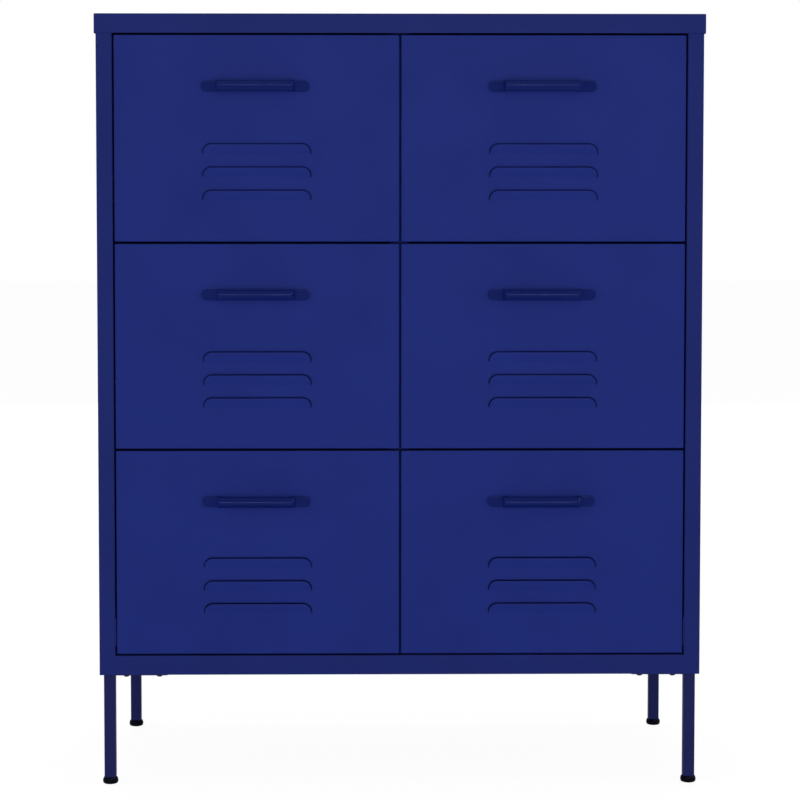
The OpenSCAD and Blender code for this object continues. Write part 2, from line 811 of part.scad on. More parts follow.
module drawer_slides(row, col) {
    in_drawer(row, col) on_both_slides() drawer_half();
}

module drawer_cages(row, col) {
    in_drawer(row, col) on_both_slides() ball_cage();
}

top_panel();
side_panel();  // side_panel_left
mirror([1, 0, 0]) side_panel();  // side_panel_right
back_panel();
bottom_panel();
centre_partition();
slide_posts();
corner_brackets();
case_slides(0);  // case_slides_left
case_slides(1);  // case_slides_right
drawer_stops();
case_screws();
at_corner(0, 0) leg();  // leg_front_left
at_corner(1, 0) leg();  // leg_front_right
at_corner(0, 1) leg();  // leg_rear_left
at_corner(1, 1) leg();  // leg_rear_right
leg_fasteners();
leg_inserts();
at_corner(0, 0) foot();  // foot_front_left
at_corner(1, 0) foot();  // foot_front_right
at_corner(0, 1) foot();  // foot_rear_left
at_corner(1, 1) foot();  // foot_rear_right
for (row = [0:rows - 1], col = [0, 1]) {
    drawer_front(row, col);
    drawer_box(row, col);
    drawer_handle(row, col);
    drawer_screws(row, col);
    drawer_slides(row, col);
    drawer_cages(row, col);
}
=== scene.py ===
"""Looks for the steel drawer cabinet: folded and powder-coated sheet steel, two columns of three
louvred drawers with bar handles, four slim legs with levelling feet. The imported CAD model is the
frame; pieces here stand for its nodes, in the same place, with real folds, edges and finishes."""
import math

import bmesh
import bpy
from mathutils import Matrix, Vector
from mathutils.geometry import delaunay_2d_cdt


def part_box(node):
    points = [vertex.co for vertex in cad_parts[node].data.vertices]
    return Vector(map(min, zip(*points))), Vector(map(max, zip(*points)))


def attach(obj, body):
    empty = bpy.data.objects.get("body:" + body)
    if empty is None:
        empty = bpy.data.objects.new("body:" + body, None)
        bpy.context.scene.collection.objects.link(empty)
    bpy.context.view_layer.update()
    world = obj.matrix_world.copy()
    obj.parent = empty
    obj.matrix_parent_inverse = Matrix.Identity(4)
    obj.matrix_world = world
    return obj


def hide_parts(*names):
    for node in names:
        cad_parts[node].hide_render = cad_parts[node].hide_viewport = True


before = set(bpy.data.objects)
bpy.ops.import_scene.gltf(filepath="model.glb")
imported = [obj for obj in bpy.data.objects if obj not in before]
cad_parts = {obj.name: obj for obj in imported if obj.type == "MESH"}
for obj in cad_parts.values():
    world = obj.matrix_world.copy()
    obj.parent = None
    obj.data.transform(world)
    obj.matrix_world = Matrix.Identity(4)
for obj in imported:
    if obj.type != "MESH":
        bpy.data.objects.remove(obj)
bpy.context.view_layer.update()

MM = 0.001
ROWS = ("top", "middle", "bottom")
COLUMNS = ("left", "right")

# ---- Sizes, in millimetres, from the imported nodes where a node's box gives them -------------
def extent(node):
    """A CAD node's lowest and highest corners, in millimetres."""
    low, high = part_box(node)
    return low / MM, high / MM


# Case
CAP_LOW, CAP_HIGH = extent("top_panel")
CAP_OVER = 2.0
X_SIDE = CAP_HIGH.x - CAP_OVER
Y_FRONT = CAP_LOW.y + CAP_OVER
Y_BACK = CAP_HIGH.y - CAP_OVER
Z_TOP, Z_SKIRT = CAP_HIGH.z, CAP_LOW.z
Z_FLOOR = extent("side_panel_left")[0].z
CASE_T, DRAWER_T = 0.7, 0.6
FOLD, FRONT_FOLD = 0.6, 1.1
BEND_STEPS = 6
SEAM = 0.5  # between two sheets that meet in a corner
TOUCH = 0.01  # keeps two faces that rest on each other apart
STILE_W = 21.2
X_OPEN = X_SIDE - STILE_W
STILE_RETURN = 17.0
FLANGE_W = 15.0
FLOOR_FLANGE = 20.0
RAIL_H, RAIL_RETURN, RAIL_LIP = 25.9, 14.0, 10.0
Z_OPEN = Z_FLOOR + RAIL_H
Y_BACK_SHEET = Y_BACK - 2 * CASE_T

# Drawers and their louvres
FRONT_T = 16.0
SIDE_LIP, EDGE_LIP = 40.0, 14.0
Y_BOX = Y_FRONT + FRONT_T
RIM_W = 8.0
LOUVRES = 3
LOUVRE_W, LOUVRE_H, LOUVRE_R = 141.0, 14.0, 11.0
LOUVRE_PITCH, LOUVRE_DROP = 30.3, 142.2
LOUVRE_SLIT, LOUVRE_SLIT_END, LOUVRE_OUT = 0.5, 0.25, 2.8
# The skin's edge rolls inwards along a slit: (distance from the slit, depth), over a fading start
ROLL = [(0.0, 1.7), (0.5, 1.1), (1.1, 0.5), (1.7, 0.12), (2.2, 0.0)]
ROLL_FADE = 3.0
FLAP_ROWS, FLAP_COLUMNS, FLAP_MARGIN = 12, 16, 0.6

# Handles
HANDLE_LEN, HANDLE_H, HANDLE_OUT = 142.0, 14.0, 19.0
GRIP_LEN, GRIP_BASE, GRIP_T = 98.0, 103.0, 8.0
FOOT_R, SHOULDER_R, HIP_R, RIDGE_R, RIM_R = 3.0, 6.0, 3.0, 3.0, 0.9
PAD_T, HANDLE_PITCH = 3.5, 128.0

# Legs, feet and brackets
LEG_W, LEG_WALL, LEG_CORNER = 15.0, 1.2, 1.8
LEG_INSET, PLATE_T, PLATE_ARM, PLATE_W = 5.0, 1.5, 86.0, 24.0
PLATE_CORNERS = (2.5, 5, 5, 4, 5, 5)
SCREW_NEAR, SCREW_FAR = 22.0, 66.0
LEG_C = LEG_INSET + LEG_W / 2
FOOT_D, FOOT_H, STUD_D, STUD_LEN, STUD_IN = 20.5, 9.0, 8.0, 26.0, 0.5
Y_MID, HALF_D = (Y_FRONT + Y_BACK) / 2, (Y_BACK - Y_FRONT) / 2
BRACKET_T, BRACKET_WING, BRACKET_H, BRACKET_RISE = 1.2, 14.0, 37.0, 12.5
BRACKET_BACK, BRACKET_GAP = 0.6, 0.3

# Slides, ball cages and what carries them
SLIDE_T, SLIDE_H, SLIDE_LEN, SLIDE_STEEL = 12.5, 35.0, 300.0, 1.2
PARTITION_W, PARTITION_LIP = 25.0, 8.0
SLIDE_RISE = 70.0
MEMBER_IN, CASE_REACH, MEMBER_HALF = 3.0, 10.0, 11.0
POST_CLEAR, SLIDE_CLEAR, BOX_CLEAR = 2.2, 3.0, 1.0
X_POST, Y_SLIDE = X_OPEN + POST_CLEAR, Y_BOX + SLIDE_CLEAR
MEMBER_LEN = 298.5
BALL_D, BALLS, CAGE_T = 4.6, 5, 0.5
CAGE_OFF, CAGE_PAST_BALL = 0.7, 0.8
CASE_BEND, MEMBER_BEND, CAGE_BEND = 1.0, 1.6, 0.8
POST_PLACES, POST_W, POST_LIP = (30.0, 250.0), 40.0, 10.0
ANCHOR_PITCH, ANCHOR_D, ANCHOR_DROP = 600.0, 8.0, 60.0
SCREW_MARGIN = 45.0


# ---- Materials -------------------------------------------------------------------------------
def linear(text):
    """An sRGB hex colour as linear RGBA."""
    parts = [int(text[i:i + 2], 16) / 255 for i in (1, 3, 5)]
    return [c / 12.92 if c <= 0.04045 else ((c + 0.055) / 1.055) ** 2.4 for c in parts] + [1.0]


def add(tree, kind, inputs=None, **fields):
    """Adds a node, sets its fields, and sets or links its inputs."""
    made = tree.nodes.new(kind)
    for key, value in fields.items():
        setattr(made, key, value)
    for key, value in (inputs or {}).items():
        if isinstance(value, bpy.types.NodeSocket):
            tree.links.new(value, made.inputs[key])
        else:
            made.inputs[key].default_value = value
    return made


def maths(tree, operation, *values):
    return add(tree, "ShaderNodeMath", dict(enumerate(values)), operation=operation).outputs[0]


def new_material(name):
    material = bpy.data.materials.new(name)
    material.use_nodes = True
    material.node_tree.nodes.clear()
    return material, material.node_tree


def object_place(tree):
    return add(tree, "ShaderNodeTexCoord").outputs["Object"]


def noise(tree, place, grain_mm, detail, **inputs):
    return add(tree, "ShaderNodeTexNoise", {"Vector": place, "Scale": 1 / (grain_mm * MM),
        "Detail": detail, **inputs}).outputs[0]


def spread(tree, value, low, high):
    """Stretches a noise's middle range between two levels."""
    return add(tree, "ShaderNodeMapRange", {"Value": value, "From Min": 0.3, "From Max": 0.7,
        "To Min": low, "To Max": high}).outputs[0]


def tinted(tree, colour, level):
    return add(tree, "ShaderNodeVectorMath", {0: linear(colour)[:3], "Scale": level},
        operation="SCALE").outputs[0]


def bumps(tree, height, strength, depth_mm):
    return add(tree, "ShaderNodeBump", {"Height": height, "Strength": strength,
        "Distance": depth_mm * MM}).outputs[0]


def surface(material, tree, inputs):
    """Finishes a material with one principled shader."""
    shader = add(tree, "ShaderNodeBsdfPrincipled", inputs)
    add(tree, "ShaderNodeOutputMaterial", {"Surface": shader.outputs[0]})
    return material


def powder_coat(name, colour, roughness, specular, peel=0.35):
    """Polyester powder coat on steel. The baked powder flows into a faint orange peel, which breaks
    up soft reflections, and its depth of colour wanders a little over a panel."""
    material, tree = new_material(name)
    place = object_place(tree)
    level = spread(tree, noise(tree, place, 90, 2.0), 0.96, 1.04)
    flow = noise(tree, place, 2.2, 1.5, Roughness=0.4)
    grain = noise(tree, place, 0.5, 1.0)
    return surface(material, tree, {"Base Color": tinted(tree, colour, level),
        "Roughness": spread(tree, grain, roughness - 0.04, roughness + 0.04),
        "Specular IOR Level": specular, "IOR": 1.5, "Normal": bumps(tree, flow, peel, 0.03)})


def plated_steel(name, colour, roughness):
    """Zinc-plated rolled steel, with fine rolling streaks and cloudy patches of passivate."""
    material, tree = new_material(name)
    place = object_place(tree)
    run = add(tree, "ShaderNodeMapping", {"Vector": place, "Scale": (1.0, 0.06, 1.0)})
    streak = noise(tree, run.outputs[0], 1.5, 3.0)
    shade = spread(tree, noise(tree, place, 14, 3.0), 0.9, 1.05)
    return surface(material, tree, {"Base Color": tinted(tree, colour, shade), "Metallic": 1.0,
        "Roughness": spread(tree, streak, roughness - 0.08, roughness + 0.1),
        "Normal": bumps(tree, streak, 0.25, 0.01)})


def moulded(name, colour, roughness, specular):
    """Injection-moulded plastic or rubber: a fine spark-eroded grain that dulls the surface."""
    material, tree = new_material(name)
    grain = noise(tree, object_place(tree), 0.6, 3.0)
    return surface(material, tree, {
        "Base Color": tinted(tree, colour, spread(tree, grain, 0.85, 1.15)),
        "Roughness": roughness, "Specular IOR Level": specular,
        "Normal": bumps(tree, grain, 0.5, 0.03)})


# The case's deep blue, nearly matt, so that its big flat faces stay even
case_paint = powder_coat("case_powder_coat", "#1B2561", 0.5, 0.02)
# The fronts' slightly brighter and purer blue, which sets them off from the frame round them
front_paint = powder_coat("drawer_powder_coat", "#1C286D", 0.5, 0.02)
# The legs' greyer blue
leg_paint = powder_coat("leg_powder_coat", "#1E214F", 0.5, 0.02)
# The handles' darker gloss, without orange peel, so that the ridge carries one thin bright line
handle_paint = powder_coat("handle_gloss_enamel", "#0D1A58", 0.1, 0.034, peel=0.0)
# The slides' and screws' pale grey metal
zinc = plated_steel("zinc_plated_steel", "#ABAFB4", 0.32)
# The dark screw heads under the case
black_zinc = plated_steel("black_zinc_plated_steel", "#2A2B38", 0.42)
# The feet's near black, with only a faint sheen on the rim
black_plastic = moulded("black_polypropylene", "#050510", 0.5, 0.025)
# The stops' dull black
black_rubber = moulded("black_rubber", "#101012", 0.75, 0.15)


# ---- Building meshes -------------------------------------------------------------------------
def piece(name, bm, material, body, slot, *nodes, smooth=40):
    """Makes a finished mesh, in millimetres, into a piece that rides on a body."""
    bmesh.ops.remove_doubles(bm, verts=bm.verts, dist=0.0005)
    bmesh.ops.dissolve_degenerate(bm, edges=bm.edges, dist=0.0002)
    bmesh.ops.recalc_face_normals(bm, faces=bm.faces)
    bmesh.ops.scale(bm, vec=(MM, MM, MM), verts=bm.verts)
    mesh = bpy.data.meshes.new(name)
    bm.to_mesh(mesh)
    bm.free()
    obj = bpy.data.objects.new(name, mesh)
    bpy.context.scene.collection.objects.link(obj)
    dress(obj, material, smooth)
    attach(obj, body)
    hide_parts(*nodes)
    return obj


def dress(obj, material, smooth):
    """Gives a mesh its material and smooth shading up to an angle, with flat faces kept flat."""
    obj.data.materials.clear()
    obj.data.materials.append(material)
    obj.data.shade_smooth()
    obj.data.set_sharp_from_angle(angle=math.radians(smooth))
    weighted = obj.modifiers.new("flat faces stay flat", "WEIGHTED_NORMAL")
    weighted.keep_sharp = True
    weighted.weight = 100


def thicken(obj, thickness):
    """Gives an outer skin its sheet thickness, inwards, ahead of the shading modifier."""
    sheet = obj.modifiers.new("sheet thickness", "SOLIDIFY")
    sheet.thickness = thickness * MM
    sheet.offset = -1.0
    sheet.use_even_offset = True
    sheet.use_quality_normals = True
    obj.modifiers.move(len(obj.modifiers) - 1, 0)


# A point from its two coordinates across an axis and its place along it
PLACES = {"x": lambda a, b, s: (s, a, b), "y": lambda a, b, s: (a, s, b),
    "z": lambda a, b, s: (a, b, s)}


def left_of(v):
    return Vector((-v.y, v.x))


def folded_line(path, thickness, radius, steps):
    """A folded sheet's middle line, as (point, left normal) pairs, from its outer face's path."""
    path = [Vector(p) for p in path]
    runs = [(b - a).normalized() for a, b in zip(path, path[1:])]
    middle = []
    for i, p in enumerate(path):
        a, b = runs[max(i - 1, 0)], runs[min(i, len(runs) - 1)]
        middle.append(p + thickness / 2 * (left_of(a) + left_of(b)) / (1 + a.dot(b)))
    line = [(middle[0], left_of(runs[0]))]
    bend = radius + abs(thickness) / 2
    for p, a, b in zip(middle[1:-1], runs, runs[1:]):
        turn = math.atan2(a.cross(b), a.dot(b))
        side = math.copysign(1, turn)
        centre = p - a * bend * math.tan(abs(turn) / 2) + left_of(a) * bend * side
        for k in range(steps + 1):
            normal = left_of(a)
            normal.rotate(Matrix.Rotation(turn * k / steps, 2))
            line.append((centre - normal * bend * side, normal))
    return line + [(middle[-1], left_of(runs[-1]))]


def strip(bm, one, two, closed=False):
    """Quads between two rows of vertices."""
    count = len(one)
    for i in range(count if closed else count - 1):
        j = (i + 1) % count
        bm.faces.new((one[i], one[j], two[j], two[i]))


def folded_sheet(bm, path, thickness, axis, ends, radius=FOLD, steps=6):
    """Adds a folded sheet that runs along an axis between two ends."""
    line = folded_line(path, thickness, radius, steps)
    near0, far0, near1, far1 = [
        [bm.verts.new(PLACES[axis](*(p + n * side), end)) for p, n in line]
        for end in ends for side in (-thickness / 2, thickness / 2)]
    strip(bm, near0, near1)
    strip(bm, far1, far0)
    strip(bm, far0, near0)
    strip(bm, near1, far1)
    for i in (0, -1):
        bm.faces.new((near0[i], near1[i], far1[i], far0[i]))


def rounded_loop(bm, axis, centre, half, radius, at, steps=5):
    """A rectangle's outline with round corners, in the plane across an axis."""
    verts = []
    for quarter, (sa, sb) in enumerate(((1, 1), (-1, 1), (-1, -1), (1, -1))):
        for k in range(steps + 1):
            angle = math.radians(90 * (quarter + k / steps))
            verts.append(bm.verts.new(PLACES[axis](
                centre[0] + sa * (half[0] - radius) + radius * math.cos(angle),
                centre[1] + sb * (half[1] - radius) + radius * math.sin(angle), at)))
    return verts


def shell(bm, loops, first=False, last=False):
    """Closes the space between successive loops, and the first or last loop if asked."""
    for one, two in zip(loops, loops[1:]):
        strip(bm, one, two, closed=True)
    if first:
        bm.faces.new(loops[0])
    if last:
        bm.faces.new(loops[-1])


def middle_and_half(low, high, *axes):
    """A box's middle and half size along two axes."""
    return [(low[i] + high[i]) / 2 for i in axes], [(high[i] - low[i]) / 2 for i in axes]


def pan_loops(bm, axis, centre, half, near, far, outer, rows):
    """A pan's outlines: over the fold at its near face, along its wall, and over the far fold."""
    loops = []
    for k in range(rows):
        first = k <= BEND_STEPS
        angle = math.radians(90 * (k if first else k - 1) / BEND_STEPS)
        inset = outer * (1 - math.sin(angle))
        at = near + outer * (1 - math.cos(angle)) if first else far - outer * (1 + math.cos(angle))
        loops.append(rounded_loop(bm, axis, centre, (half[0] - inset, half[1] - inset),
            outer - inset, at))
    return loops


def block(bm, low, high):
    """Adds a plain box between two corners."""
    low, high = Vector(low), Vector(high)
    made = bmesh.ops.create_cube(bm, size=1.0)["verts"]
    bmesh.ops.scale(bm, vec=high - low, verts=made)
    bmesh.ops.translate(bm, vec=(low + high) / 2, verts=made)


# ---- Case ------------------------------------------------------------------------------------
def case_piece(name, bm, node):
    return piece(name, bm, case_paint, "case", "blue_powder_coat", node)


def top_panel():
    """The folded lid, whose skirt stands out past the case."""
    bm = bmesh.new()
    outer = FOLD + CASE_T
    centre, half = middle_and_half(CAP_LOW, CAP_HIGH, 0, 1)
    loops = []
    for k in range(BEND_STEPS + 1):
        angle = math.radians(90 * k / BEND_STEPS)
        inset = outer * (1 - math.sin(angle))
        loops.append(rounded_loop(bm, "z", centre, (half[0] - inset, half[1] - inset),
            outer - inset, Z_TOP - outer * (1 - math.cos(angle))))
    loops.append(rounded_loop(bm, "z", centre, half, outer, Z_SKIRT))
    shell(bm, loops, first=True)
    thicken(case_piece("top_lid", bm, "top_panel"), CASE_T)


def side_panel(side, name):
    """A side sheet folded into the upright strip at the front and the screw fold at the back, with
    a flat fold at its top for the lid."""
    bm = bmesh.new()
    folded_sheet(bm, [(side * (X_SIDE - FLANGE_W), Y_BACK), (side * X_SIDE, Y_BACK),
        (side * X_SIDE, Y_FRONT), (side * X_OPEN, Y_FRONT),
        (side * X_OPEN, Y_FRONT + STILE_RETURN)], -side * CASE_T, "z", (Z_FLOOR, Z_TOP - CASE_T),
        radius=FRONT_FOLD)
    left, right = sorted((side * (X_SIDE - FLANGE_W), side * (X_SIDE - CASE_T)))
    block(bm, (left, Y_FRONT + STILE_RETURN + SEAM, Z_TOP - 2 * CASE_T),
        (right, Y_BACK_SHEET, Z_TOP - CASE_T - 2 * TOUCH))
    case_piece(f"side_sheet_{name}", bm, f"side_panel_{name}")


def bottom_panel():
    """The floor with the front rail folded up and over, and a wing with a fold at each side. The
    rail's ends fill the round inner edges of the uprights, as a weld ground flush does."""
    weld = X_OPEN + FRONT_FOLD + CASE_T
    bm = bmesh.new()
    folded_sheet(bm, [(Y_FRONT + RAIL_RETURN, Z_OPEN - RAIL_LIP), (Y_FRONT + RAIL_RETURN, Z_OPEN),
        (Y_FRONT, Z_OPEN), (Y_FRONT, Z_FLOOR), (Y_BACK_SHEET, Z_FLOOR),
        (Y_BACK_SHEET, Z_FLOOR + FLOOR_FLANGE)], CASE_T, "x", (-weld, weld), radius=FRONT_FOLD)
    for side in (-1, 1):
        skin = X_SIDE - CASE_T
        folded_sheet(bm, [(side * skin, Z_FLOOR + FLOOR_FLANGE), (side * skin, Z_FLOOR),
            (side * (X_OPEN + TOUCH), Z_FLOOR)], -side * CASE_T, "y",
            (Y_FRONT + STILE_RETURN + SEAM, Y_BACK_SHEET))
    case_piece("floor_and_rail", bm, "bottom_panel")


def corner_brackets():
    """Small angles in the opening's two lower corners, hooked behind the uprights."""
    bm = bmesh.new()
    rear = Y_FRONT + STILE_RETURN + BRACKET_GAP + BRACKET_T
    for side in (-1, 1):
        edge = side * (X_OPEN - BRACKET_T)
        folded_sheet(bm, [(edge, Y_FRONT + BRACKET_BACK), (edge, rear),
            (side * (X_OPEN + BRACKET_WING), rear)], -side * BRACKET_T, "z",
            (Z_OPEN + BRACKET_RISE, Z_OPEN + BRACKET_RISE + BRACKET_H))
    case_piece("corner_hooks", bm, "corner_brackets")


top_panel()
side_panel(-1, "left")
side_panel(1, "right")
bottom_panel()
corner_brackets()


# ---- Drawers ---------------------------------------------------------------------------------
def arch_points(width, height, radius, taper=0.0, steps=8):
    """A louvre's outline from its lower left to its lower right, over two round corners."""
    half = width / 2
    points = [(-half - taper, 0.0)]
    for side in (-1, 1):
        for k in range(steps + 1):
            angle = math.radians(90 + (90 - 90 * k / steps if side < 0 else -90 * k / steps))
            points.append((side * (half - radius) + radius * math.cos(angle),
                height - radius + radius * math.sin(angle)))
    return points + [(half + taper, 0.0)]


def under_arch(x, z, arch):
    """True under an arch, by a crossing count."""
    crossings = False
    for (x0, z0), (x1, z1) in zip(arch, arch[1:] + arch[:1]):
        if (z0 > z) != (z1 > z) and x < (x1 - x0) * (z - z0) / (z1 - z0) + x0:
            crossings = not crossings
    return crossings


def louvred_skin(bm, low, high, louvre_x):
    """The front's flat face with the louvres' slits cut out and their flaps pressed outwards."""
    points, edges, slits = [], [], []
    rolls = [arch_points(LOUVRE_W + 2 * step, LOUVRE_H + step, LOUVRE_R + step) for step, _ in ROLL]
    top, bend = LOUVRE_H - LOUVRE_SLIT, LOUVRE_R - LOUVRE_SLIT
    touching, slack = 1e-3, 0.01

    def outline(loop, closed=True):
        start, count = len(points), len(loop)
        points.extend(loop)
        edges.extend((start + i, start + (i + 1) % count)
            for i in range(count if closed else count - 1))

    outline([(low[0], low[1]), (high[0], low[1]), (high[0], high[1]), (low[0], high[1])])
    for i in range(LOUVRES):
        hinge = high[1] + FRONT_FOLD + DRAWER_T - LOUVRE_DROP - i * LOUVRE_PITCH - LOUVRE_H
        outer = arch_points(LOUVRE_W, LOUVRE_H, LOUVRE_R)
        for arch in rolls[1:]:
            outline([(louvre_x + x, hinge + z) for x, z in arch], closed=False)
        inner = arch_points(LOUVRE_W - 2 * LOUVRE_SLIT, top, bend, LOUVRE_SLIT - LOUVRE_SLIT_END)
        outline([(louvre_x + x, hinge + z) for x, z in outer + inner[::-1]])
        slits.append((hinge, outer, inner))
        # Points inside the flap, so that it can curve
        for k in range(FLAP_ROWS):
            z = top * k / FLAP_ROWS
            half = LOUVRE_W / 2 - LOUVRE_SLIT - FLAP_MARGIN
            if z > top - bend:
                half -= bend - math.sqrt(max(bend ** 2 - (z - (top - bend)) ** 2, 0))
            columns = [-half + 2 * half * c / FLAP_COLUMNS for c in range(FLAP_COLUMNS + 1)]
            points.extend((louvre_x + x, hinge + z) for x in columns)
    verts, _, faces, *_ = delaunay_2d_cdt([Vector(p) for p in points], edges, [], 1, 1e-5)
    made = []
    for v in verts:
        out = 0.0
        for hinge, outer, inner in slits:
            x, z = v.x - louvre_x, v.y - hinge
            if 0 < z < top + slack and abs(x) < LOUVRE_W / 2 + slack:
                near = min(math.dist((x, z), p) for p in inner)
                if under_arch(x, z, inner) or near < touching:
                    out = LOUVRE_OUT * math.sin(math.pi / 2 * (z / top)) ** 1.5
            reach = ROLL[-1][0] + slack
            if -slack < z < LOUVRE_H + reach and abs(x) < LOUVRE_W / 2 + reach:
                for (step, drop), arch in zip(ROLL, rolls):
                    if min(math.dist((x, z), p) for p in arch) < touching:
                        out = -drop * min(z / ROLL_FADE, 1.0)
        made.append(bm.verts.new((v.x, Y_FRONT - out, v.y)))
    for face in faces:
        x = sum(verts[i].x for i in face) / 3 - louvre_x
        z = sum(verts[i].y for i in face) / 3
        if not any(under_arch(x, z - hinge, outer) and not under_arch(x, z - hinge, inner)
                for hinge, outer, inner in slits):
            bm.faces.new([made[i] for i in face])


def drawer_front(row, column):
    """A pan folded back on four sides and again behind, with three pressed louvres."""
    low, high = extent(f"front_{row}_{column}")
    centre, half = middle_and_half(low, high, 0, 2)
    outer = FRONT_FOLD + DRAWER_T
    bm = bmesh.new()
    louvred_skin(bm, (low.x + outer, low.z + outer), (high.x - outer, high.z - outer), centre[0])
    loops = pan_loops(bm, "y", centre, half, Y_FRONT, Y_BOX, outer, 2 * BEND_STEPS + 1)
    lip = (half[0] - SIDE_LIP, half[1] - EDGE_LIP)
    loops.append(rounded_loop(bm, "y", centre, lip, 0.0, Y_BOX))
    shell(bm, loops)
    front = piece(f"louvred_front_{row}_{column}", bm, front_paint, f"drawer_{row}_{column}",
        "blue_powder_coat", f"front_{row}_{column}", smooth=30)
    thicken(front, DRAWER_T)


def fillet(points, radii, steps=6):
    """An open line with its inner corners rounded."""
    line = [Vector(points[0])]
    for a, b, c, radius in zip(points, points[1:], points[2:], radii):
        a, b, c = Vector(a), Vector(b), Vector(c)
        u, v = (a - b).normalized(), (c - b).normalized()
        half = u.angle(v) / 2
        middle = b + (u + v).normalized() * radius / math.sin(half)
        start, end = (b + way * radius / math.tan(half) - middle for way in (u, v))
        turn = math.atan2(start.cross(end), start.dot(end))
        for k in range(steps + 1):
            spoke = start.copy()
            spoke.rotate(Matrix.Rotation(turn * k / steps, 2))
            line.append(middle + spoke)
    return line + [Vector(points[-1])]


def handle_mesh(bm, x_mid, z_mid):
    """A bar bent out between two round-ended pads. Its grip is a straight ridge between two
    45-degree faces, and it rounds over into the steep legs."""
    end, base, grip = HANDLE_LEN / 2, GRIP_BASE / 2, GRIP_LEN / 2
    rise = Vector((base - grip, HANDLE_OUT - PAD_T)).normalized()
    inner_grip = grip - GRIP_T * (1 - rise.x) / rise.y
    inner_base = inner_grip + (HANDLE_OUT - GRIP_T) * rise.x / rise.y
    screw_x = end - HANDLE_H / 2
    tips = [end - HANDLE_H / 2 * (1 - math.sin(math.radians(90 * (1 - k / 8)))) for k in range(9)]
    outer = [Vector((x, PAD_T)) for x in tips[:-1]] + fillet([(screw_x, PAD_T), (base, PAD_T),
        (grip, HANDLE_OUT + HIP_R), (0, HANDLE_OUT + HIP_R)], (FOOT_R, SHOULDER_R), 12)
    inner = [Vector((x, 0.0)) for x in tips[:-1]] + fillet([(screw_x, 0.0), (inner_base, 0.0),
        (inner_grip, HANDLE_OUT - GRIP_T), (0, HANDLE_OUT - GRIP_T)], (FOOT_R / 2, FOOT_R / 2), 12)
    half_h = HANDLE_H / 2
    ridge = [RIDGE_R * math.sin(math.radians(a)) for a in (0, 15, 30, 45)]
    face = [3.6, 5.0]
    rim = [half_h - RIM_R * (1 - math.sin(math.radians(a))) for a in (0, 30, 60, 90)]
    heights = ridge + face + rim
    heights = [-z for z in heights[:0:-1]] + heights

    def roof(z):
        """Depth of the front's two 45-degree faces and the round ridge between them."""
        if abs(z) < ridge[-1]:
            return HANDLE_OUT - RIDGE_R + math.sqrt(RIDGE_R ** 2 - z ** 2)
        return HANDLE_OUT + RIDGE_R * (math.sqrt(2) - 1) - abs(z)

    rings = []
    stations = list(zip(outer, inner))
    stations += [(Vector((-o.x, o.y)), Vector((-i.x, i.y))) for o, i in reversed(stations[:-1])]
    for o, i in stations:
        ring = []
        for line, sign in ((o, 1), (i, -1)):
            past_end = max(abs(line.x) - screw_x, 0.0)
            share = math.sqrt(max(1 - (past_end / half_h) ** 2, 0.0))
            for z in heights if sign > 0 else heights[::-1]:
                past_rim = max(abs(z) - rim[0], 0.0)
                soft = RIM_R - math.sqrt(max(RIM_R ** 2 - past_rim ** 2, 0.0))
                if sign > 0:
                    near = max(1 - abs(line.y - roof(z * share)) / HIP_R, 0.0)
                    out = min(line.y, roof(z * share)) - near ** 2 * HIP_R / 4 - soft
                else:  # the pads lie flat on the front, and the rest has round edges
                    out = line.y + (soft if line.y > 0.5 else 0.0)
                ring.append(bm.verts.new((x_mid + line.x, Y_FRONT - out, z_mid + z * share)))
        rings.append(ring)
    shell(bm, rings)


def drawer_handle(row, column):
    low, high = extent(f"handle_{row}_{column}")
    bm = bmesh.new()
    handle_mesh(bm, (low.x + high.x) / 2, (low.z + high.z) / 2)
    piece(f"bar_handle_{row}_{column}", bm, handle_paint, f"drawer_{row}_{column}", "handle_gloss",
        f"handle_{row}_{column}", smooth=50)


def drawer_box(row, column):
    """An open box of folded sheet, with a flat rim turned in round its top."""
    low, high = extent(f"box_{row}_{column}")
    centre, half = middle_and_half(low, high, 0, 1)
    outer = FOLD + DRAWER_T
    bm = bmesh.new()
    loops = pan_loops(bm, "z", centre, half, low.z, high.z, outer, 2 * BEND_STEPS + 2)
    rim = RIM_W + DRAWER_T
    loops.append(rounded_loop(bm, "z", centre, (half[0] - rim, half[1] - rim), 0.0, high.z))
    shell(bm, loops, first=True)
    thicken(piece(f"drawer_tray_{row}_{column}", bm, case_paint, f"drawer_{row}_{column}",
        "blue_powder_coat", f"box_{row}_{column}"), DRAWER_T)


for row in ROWS:
    for column in COLUMNS:
        drawer_front(row, column)
        drawer_handle(row, column)
        drawer_box(row, column)


# ---- Legs and feet ---------------------------------------------------------------------------
def lathe(bm, profile, centre, steps=48):
    """Turns an (r, z) profile about an upright axis. Points at r = 0 close the ends."""
    rings = []
    for r, z in profile:
        rings.append([bm.verts.new((centre[0] + r * math.cos(2 * math.pi * k / steps),
            centre[1] + r * math.sin(2 * math.pi * k / steps), z)) for k in range(steps)])
    for one, two in zip(rings, rings[1:]):
        strip(bm, one, two, closed=True)


def leg_centre(sx, sy):
    return sx * (X_SIDE - LEG_C), Y_MID + sy * (HALF_D - LEG_C)


